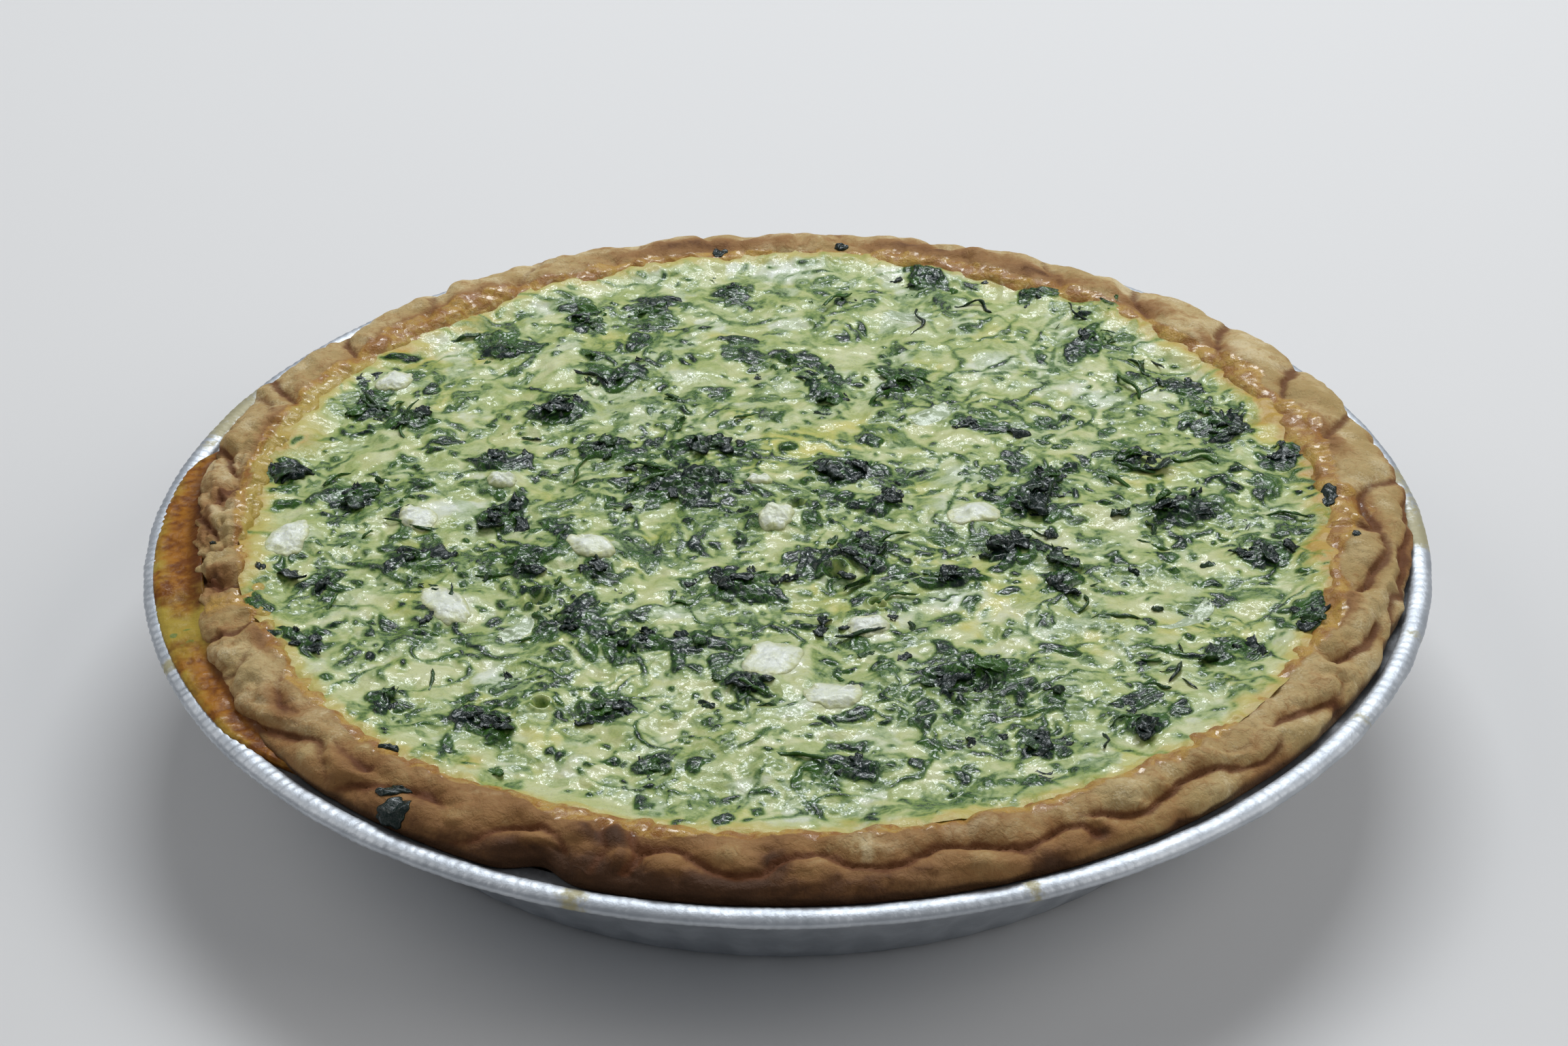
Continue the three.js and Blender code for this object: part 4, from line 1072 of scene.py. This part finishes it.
def make_filling(material):
    """The filling's surface: a square grid (u, v) bent to a disc by x = u sqrt(1 - v^2 / 2),
    y = v sqrt(1 - u^2 / 2), at the raster's height, in four closed tiles that share their borders. The
    floors of burst bubbles are painted as dark as leaf: painted shade in the pits."""
    cells = 612
    half = cells // 2
    u, v = np.meshgrid(np.linspace(-1, 1, cells + 1), np.linspace(-1, 1, cells + 1), indexing="ij")
    x, y = u * np.sqrt(1 - v * v / 2), v * np.sqrt(1 - u * u / 2)
    angle = np.arctan2(y, x)
    edge = edge_radius(angle) + 1.4 + 0.8 * noise(12 * np.cos(angle), 12 * np.sin(angle), seed=81)
    edge = np.minimum(edge, 100)
    x, y = x * edge, y * edge
    leaf = read_raster(LEAF_RASTER, x, y)
    # Bubble floors painted as dark as leaf: painted shade in the pits.
    for bx, by, br in BUBBLES:
        leaf = np.maximum(leaf, 0.35 - 1.3 * ((x - bx) ** 2 + (y - by) ** 2) / br**2)
    surface = np.stack([x, y, read_raster(HEIGHT_RASTER, x, y)], axis=-1)
    colours = {"leaf": leaf, **custard_colours(x, y)}
    for number, (i0, j0) in enumerate(((0, 0), (half, 0), (0, half), (half, half)), 1):
        tile = (slice(i0, i0 + half + 1), slice(j0, j0 + half + 1))
        points, faces, ring = closed_tile(surface[tile], edge[tile])
        below = np.full(len(points) - (half + 1) ** 2, -1.0)
        values = {k: np.concatenate([w[tile].ravel(), below]) for k, w in colours.items()}
        add_piece(f"custard_{number}", points, faces, material, ["filling"], values, ring)


# ---- Spinach ------------------------------------------------------------------------------------

def under_ceiling(z):
    """Heights above 36 mm pressed together so that they stay under 37.3 mm:
    36 + 1.3 tanh((z - 36) / 1.3)."""
    return np.where(z > 36.0, 36.0 + 1.3 * np.tanh((z - 36.0) / 1.3), z)


def leaf_bits(centre, length, width, thick, yaw, lean, curl, rows, columns, seed):
    """Scraps of leaf, each a lens bent and crumpled. On u along it and v across it, both from -1 to 1,
    its outline is y = v width/2 (0.3 + 0.7 sqrt(1 - u^2)), made uneven by noise; its middle surface is
    curl v^2 plus noise, and its two skins lie thick/2 sqrt((1 - u^4)(1 - v^2)) above and below that and
    meet along its edge. Returns the points, the faces and how many points each scrap has."""
    u, v = np.meshgrid(np.linspace(-1, 1, rows), np.linspace(-1, 1, columns), indexing="ij")
    u, v = u[None], v[None]
    who = np.arange(len(centre))[:, None, None] * 7.31
    length, width, thick, curl, yaw = (q[:, None, None] for q in (length, width, thick, curl, yaw))
    cx, cy, cz, lean_x, lean_y = (q[:, None, None] for q in (*centre.T, *lean.T))
    ragged = 1 + 0.45 * noise(u * 2.1 + who, v * 0.8, 0, seed) + 0.25 * noise(u * 4.7 + who, v, 0, seed + 1)
    bend = noise(u * 1.1 + who, 0, 5.5, seed + 2)
    px = length / 2 * (u + 0.18 * noise(v * 2 + who, u, 3.3, seed + 3))
    py = v * width / 2 * (0.3 + 0.7 * np.sqrt(1 - u * u)) * ragged + 0.28 * length * bend
    mid = curl * v * v + 0.16 * width * noise(u * 2.4 + who, v * 1.7, 0, seed + 4)
    mid = mid + 0.10 * length * noise(u * 1.3 + who, 0, 9, seed + 5)
    mid = mid + 0.25 * np.abs(noise(u * 4.5 + who, v * 2.6, 0, seed + 7))
    body = thick / 2 * np.sqrt((1 - u**4) * (1 - v * v)) * (1 + 0.5 * noise(u * 3 + who, v * 3, 0, seed + 6))
    x, y = px * np.cos(yaw) - py * np.sin(yaw) + cx, px * np.sin(yaw) + py * np.cos(yaw) + cy
    middle = mid + px * np.tan(lean_x) + py * np.tan(lean_y) + cz
    skins = (np.stack([x, y, under_ceiling(middle + side * body)], axis=-1) for side in (1, -1))
    upper, lower = (skin.reshape(len(centre), -1, 3) for skin in skins)
    both, inside = two_skins(rows, columns)
    points = np.concatenate([upper, lower[:, inside]], axis=1)
    each = points.shape[1]
    faces = (both[None] + (np.arange(len(centre)) * each)[:, None, None]).reshape(-1, 3)
    return points, faces, each


def make_scraps(material):
    """Scraps of leaf that stand out of the clumps, and a few loose ones, each on the filling with a
    random turn, lean and curl, part of it sunk; and thin shreds of leaf, lying flat."""
    rng = np.random.default_rng(5)
    x, y = np.concatenate([in_clumps(0.055, 6)[:, :2], scatter(70, 21)]).T
    count = len(x)
    length = np.clip(rng.lognormal(1.25, 0.33, count), 1.8, 6.5)
    width = length * rng.uniform(0.4, 0.75, count)
    z = read_raster(HEIGHT_RASTER, x, y) + rng.uniform(-0.35, 0.05, count) - 0.35 * step(y, 20, 75)
    points, faces, each = leaf_bits(
        np.stack([x, y, z], axis=1), length, width, rng.uniform(0.35, 0.6, count),
        rng.uniform(0, np.pi * 2, count), np.radians(rng.normal(0, 7, (count, 2))),
        rng.normal(0.0, 0.35, count), 13, 9, 100)
    # Lighter towards the back: painted light where the window's sheen falls on the leaf.
    tint = np.repeat(np.clip(rng.normal(0.35, 0.3, count) + 0.35 * step(y, 10, 80), 0, 1), each)
    clumps = [f"spinach_{i}" for i in range(1, 7)]
    add_piece("spinach_scraps", points, [faces], material, clumps, {"tint": tint})

    x, y = scatter(70, 23, 0.6).T
    count = len(x)
    width = rng.uniform(0.5, 0.9, count)
    z = read_raster(HEIGHT_RASTER, x, y) + rng.uniform(-0.25, 0.0, count)
    points, faces, each = leaf_bits(
        np.stack([x, y, z], axis=1), rng.uniform(6, 13, count), width, width * 0.7,
        rng.uniform(0, np.pi * 2, count), np.radians(rng.normal(0, 3, (count, 2))), np.zeros(count),
        17, 4, 300)
    tint = np.repeat(rng.uniform(0.4, 1, count), each)
    add_piece("spinach_shreds", points, [faces], material, (), {"tint": tint})


# ---- Custard on the rim -------------------------------------------------------------------------

def make_spill(material):
    """The custard that boiled over: on angle and share across from the roll to the bead, its top is a
    flat meniscus with a swell in the middle, and it is closed underneath on the flange. It narrows to
    nothing at both ends."""
    turns, across = 420, 22
    angle = np.radians(np.linspace(SPILL_FROM, SPILL_TO, turns))
    a, s = np.meshgrid(angle, np.linspace(0, 1, across), indexing="ij")
    degrees = np.degrees(a)
    radius, half_width, _ = roll_shape(a)
    inner = radius + half_width * 0.80
    outer = RIM_RADIUS - BEAD_WIDTH * 0.44
    narrow = 1 - step(degrees, SPILL_FROM, SPILL_FROM + 8) * (1 - step(degrees, SPILL_TO - 12, SPILL_TO))
    outer = outer - (outer - inner) * narrow * 0.92
    r = inner + (outer - inner) * s
    x, y = r * np.cos(a), r * np.sin(a)
    body = np.sin(np.pi * np.clip((degrees - SPILL_FROM) / (SPILL_TO - SPILL_FROM), 0, 1)) ** 0.35
    z = 30.35 + 1.75 * body + 0.35 * rough(x, y, 0, 5, 2, 131) + 0.07 * rough(x, y, 0, 1.6, 2, 137)
    z = z + 0.9 * (1 - step(s, 0.0, 0.35)) * body - 0.55 * step(s, 0.88, 1.0) * body
    under = np.full_like(z, FLANGE_HEIGHT + FOIL + 0.05)
    points = np.concatenate([np.stack([x, y, h], axis=-1).reshape(-1, 3) for h in (z, under)])
    quads, total, rim = grid_faces(turns, across), turns * across, border(turns, across)
    faces = [quads[:, ::-1], quads + total, wall_faces(rim, rim + total)[:, ::-1]]
    yellow = hump(a + 0.06 * rough(x, y, 0, 7, 3, 143), 197.5, 5.0) + 0.5 * hump(a, 184, 3) * step(s, 0.5, 1)
    yellow = yellow + 0.55 * step(s, 0.45, 1) * step(rough(x, y, 0, 7, 3, 141), -0.3, 0.3)
    green = hump(a, 198.5, 2.6) * step(rough(x, y, 0, 3, 2, 139), 0.0, 0.3)
    # inner: painted shade along the roll, where it hangs over the spill.
    values = {"yellow": yellow, "green": green, "inner": 1 - step(s, 0.05, 0.6 + 0.5 * hump(a, 168, 9))}
    values = {k: np.concatenate([v.ravel(), np.zeros(total)]) for k, v in values.items()}
    add_piece("boiled_over_custard", points, faces, material, ["spill"], values)


# ---- What lies on the crust and the filling --------------------------------------------------------

def drape(side, place, lift, name, material, attributes, replaced=(), crumbly=0.0, ragged_by=1.0):
    """Thin pieces that follow what they lie on. Each is a square grid (u, v) from -1 to 1, its outline a
    circle u sqrt(1 - v^2 / 2), v sqrt(1 - u^2 / 2) made ragged by noise, more or less as ragged_by says.
    place(item, p, q) gives the points under it and the way out from them; its upper skin stands
    lift(item) sqrt(1 - d^4) above them and its lower one 0.3 mm under them, d being the distance from
    its middle. Where it is crumbly, its upper skin has grains and pits too."""
    u, v = np.meshgrid(np.linspace(-1, 1, side), np.linspace(-1, 1, side), indexing="ij")
    p, q = u * np.sqrt(1 - v * v / 2), v * np.sqrt(1 - u * u / 2)
    bearing, d = np.arctan2(q, p), np.maximum(np.abs(u), np.abs(v))
    both, inside = two_skins(side, side)
    points, faces, total = [], [], 0
    for item, thick in enumerate(lift):
        far = 9 * item
        ragged = 0.30 * noise(np.cos(bearing) * 1.3 + far, np.sin(bearing) * 1.3, 0, 501)
        ragged = ragged + 0.14 * noise(np.cos(bearing) * 3.5 + far, np.sin(bearing) * 3.5, 0, 502)
        ragged = 1 + ragged_by * ragged
        on, out = place(item, p * ragged, q * ragged)
        grains = 0.5 - np.abs(noise(p * 4.2 + far, q * 4.2, 0, 504)) * 1.6
        grains = grains + 0.5 * noise(p * 9 + far, q * 9, 0, 505)
        crumple = 1 + 0.5 * noise(p * 2.5 + far, q * 2.5, 0, 503) + crumbly * grains
        top = on + out * (thick * np.sqrt(1 - d**4) * crumple)[..., None]
        bottom = on - out * (0.3 * (1 - d**4))[..., None]
        points.append(np.concatenate([top.reshape(-1, 3), bottom.reshape(-1, 3)[inside]]))
        faces.append(both + total)
        total += len(points[-1])
    points = np.concatenate(points)
    points[:, 2] = under_ceiling(points[:, 2])
    values = {k: np.full(len(points), w) for k, w in attributes.items()}
    values["out"] = np.tile(np.concatenate([d.ravel(), np.ones(inside.sum())]), len(lift))
    add_piece(name, points, [np.concatenate(faces)], material, replaced, values)


def on_filling(rows):
    """A placing function for listed blobs that lie on the filling: x, y, length, width, turn, bend in
    mm."""
    def place(item, p, q):
        cx, cy, length, width, turn, bend = rows[item]
        a = np.radians(turn)
        u, v = p * length / 2, q * width / 2 + bend * (p * p - 0.5)
        x, y = cx + u * np.cos(a) - v * np.sin(a), cy + u * np.sin(a) + v * np.cos(a)
        up = np.zeros((*p.shape, 3))
        up[..., 2] = 1.0
        return np.stack([x, y, read_raster(HEIGHT_RASTER, x, y) - 0.1], axis=-1), up
    return place


def on_crust(item, p, q):
    """Points of the roll's surface round a listed place, and the way out from it: the slope of its
    section."""
    at, place, long, wide, _, skew = CRUST_LEAVES[item]
    a = np.radians(at) + (p * long / 2 + q * skew * wide / 2) / ROLL_TURN
    s = np.clip(place + q * wide / 2 / ROLL_ARC, 0.01, 0.99)
    r, z, _, _ = crust_surface(a, s)
    _, half_width, rise = roll_shape(a)
    t = ROLL_START + (ROLL_END - ROLL_START) * s
    flat, up = np.cos(t) / half_width, np.sin(t) / rise
    size = np.hypot(flat, up)
    out = np.stack([flat / size * np.cos(a), flat / size * np.sin(a), up / size], axis=-1)
    return np.stack([r * np.cos(a), r * np.sin(a), z], axis=-1), out


def make_toppings(spinach, cheese, onion):
    """Leaf on the pastry, cheese lumps and onion pieces, each kind one piece."""
    thick = [row[4] for row in CRUST_LEAVES]
    drape(22, on_crust, thick, "spinach_on_crust", spinach, {"tint": 0.3})
    lumps = on_filling(np.column_stack([CHEESE[:, [0, 1, 2, 3, 5]], np.zeros(len(CHEESE))]))
    nodes = [f"cheese_{i}" for i in range(1, 13)]
    drape(40, lumps, CHEESE[:, 4] * 0.40, "cheese_lumps", cheese, {}, nodes, 0.14, 0.55)
    nodes = [f"onion_{i}" for i in range(1, 5)]
    drape(26, on_filling(ONION), np.full(4, 0.20), "onion_pieces", onion, {}, nodes)


# ---- The quiche ---------------------------------------------------------------------------------

make_tin(foil_material())
make_crust(pastry_material())
make_filling(filling_material())
wet_leaf = spinach_material()
make_scraps(wet_leaf)
make_toppings(wet_leaf, cheese_material(), onion_material())
make_spill(spill_material())


# ---- Floor, lights and camera -------------------------------------------------------------------

def make_floor():
    """A plain pale floor, 6 m square."""
    mesh = bpy.data.meshes.new("floor")
    mesh.from_pydata([(-3, -3, 0), (3, -3, 0), (3, 3, 0), (-3, 3, 0)], [], [(0, 1, 2, 3)])
    mesh.materials.append(Maker("floor").finish({"Base Color": (0.72, 0.71, 0.70, 1.0), "Roughness": 0.6}))
    floor = bpy.data.objects.new("floor", mesh)
    bpy.context.scene.collection.objects.link(floor)


def area_light(name, place, size, power, colour):
    """A soft rectangular light at a place in metres, turned to face the quiche."""
    lamp = bpy.data.lights.new(name, "AREA")
    lamp.shape = "RECTANGLE"
    lamp.size, lamp.size_y = size
    lamp.energy = power
    lamp.color = colour
    holder = bpy.data.objects.new(name, lamp)
    holder.location = place
    holder.rotation_euler = (Vector((0, 0, 0.03)) - Vector(place)).to_track_quat("-Z", "Y").to_euler()
    bpy.context.scene.collection.objects.link(holder)


def make_lights():
    """A window behind the quiche, weaker lights on the other sides, and a faint bluish sky."""
    cool, warm = (0.92, 0.96, 1.0), (1.0, 0.98, 0.95)
    area_light("window", (0.12, 0.75, 0.95), (0.8, 0.4), 9.9, cool)
    area_light("side", (-0.9, 0.1, 0.8), (0.8, 0.7), 2.5, warm)
    area_light("right", (1.0, -0.2, 0.8), (0.9, 0.8), 4.5, warm)
    area_light("front", (0.1, -1.0, 1.1), (0.9, 0.6), 0.6, warm)
    world = bpy.data.worlds.new("studio")
    world.use_nodes = True
    sky = world.node_tree.nodes["Background"].inputs
    sky["Color"].default_value = (0.80, 0.86, 0.95, 1.0)
    sky["Strength"].default_value = 0.20
    bpy.context.scene.world = world


def make_camera():
    """The camera: at an elevation above the horizontal on the side of -Y, tilted by a roll, at a
    distance in mm from its aim. Its focal length is given in pixels of a frame width_pixels wide."""
    elevation, roll, distance = np.radians(31.69), np.radians(-0.43), 634.3
    focal_pixels, width_pixels = 5168.0, 2305.0
    aim = np.array([-0.6, 2.5, RIM_HEIGHT])
    ahead = np.array([0, np.cos(elevation), -np.sin(elevation)])
    across = np.array([1.0, 0, 0])
    upward = np.cross(across, ahead)
    right = across * np.cos(roll) + upward * np.sin(roll)
    top = -across * np.sin(roll) + upward * np.cos(roll)
    turn = np.eye(4)
    turn[:3] = np.column_stack([right, top, -ahead, (aim - ahead * distance) * 0.001])
    lens = bpy.data.cameras.new("camera")
    lens.sensor_width = 36.0
    lens.lens = lens.sensor_width * focal_pixels / width_pixels
    camera = bpy.data.objects.new("camera", lens)
    camera.matrix_world = Matrix(turn.tolist())
    bpy.context.scene.collection.objects.link(camera)
    bpy.context.scene.camera = camera


make_floor()
make_lights()
make_camera()
bpy.context.scene.view_settings.view_transform = "Standard"
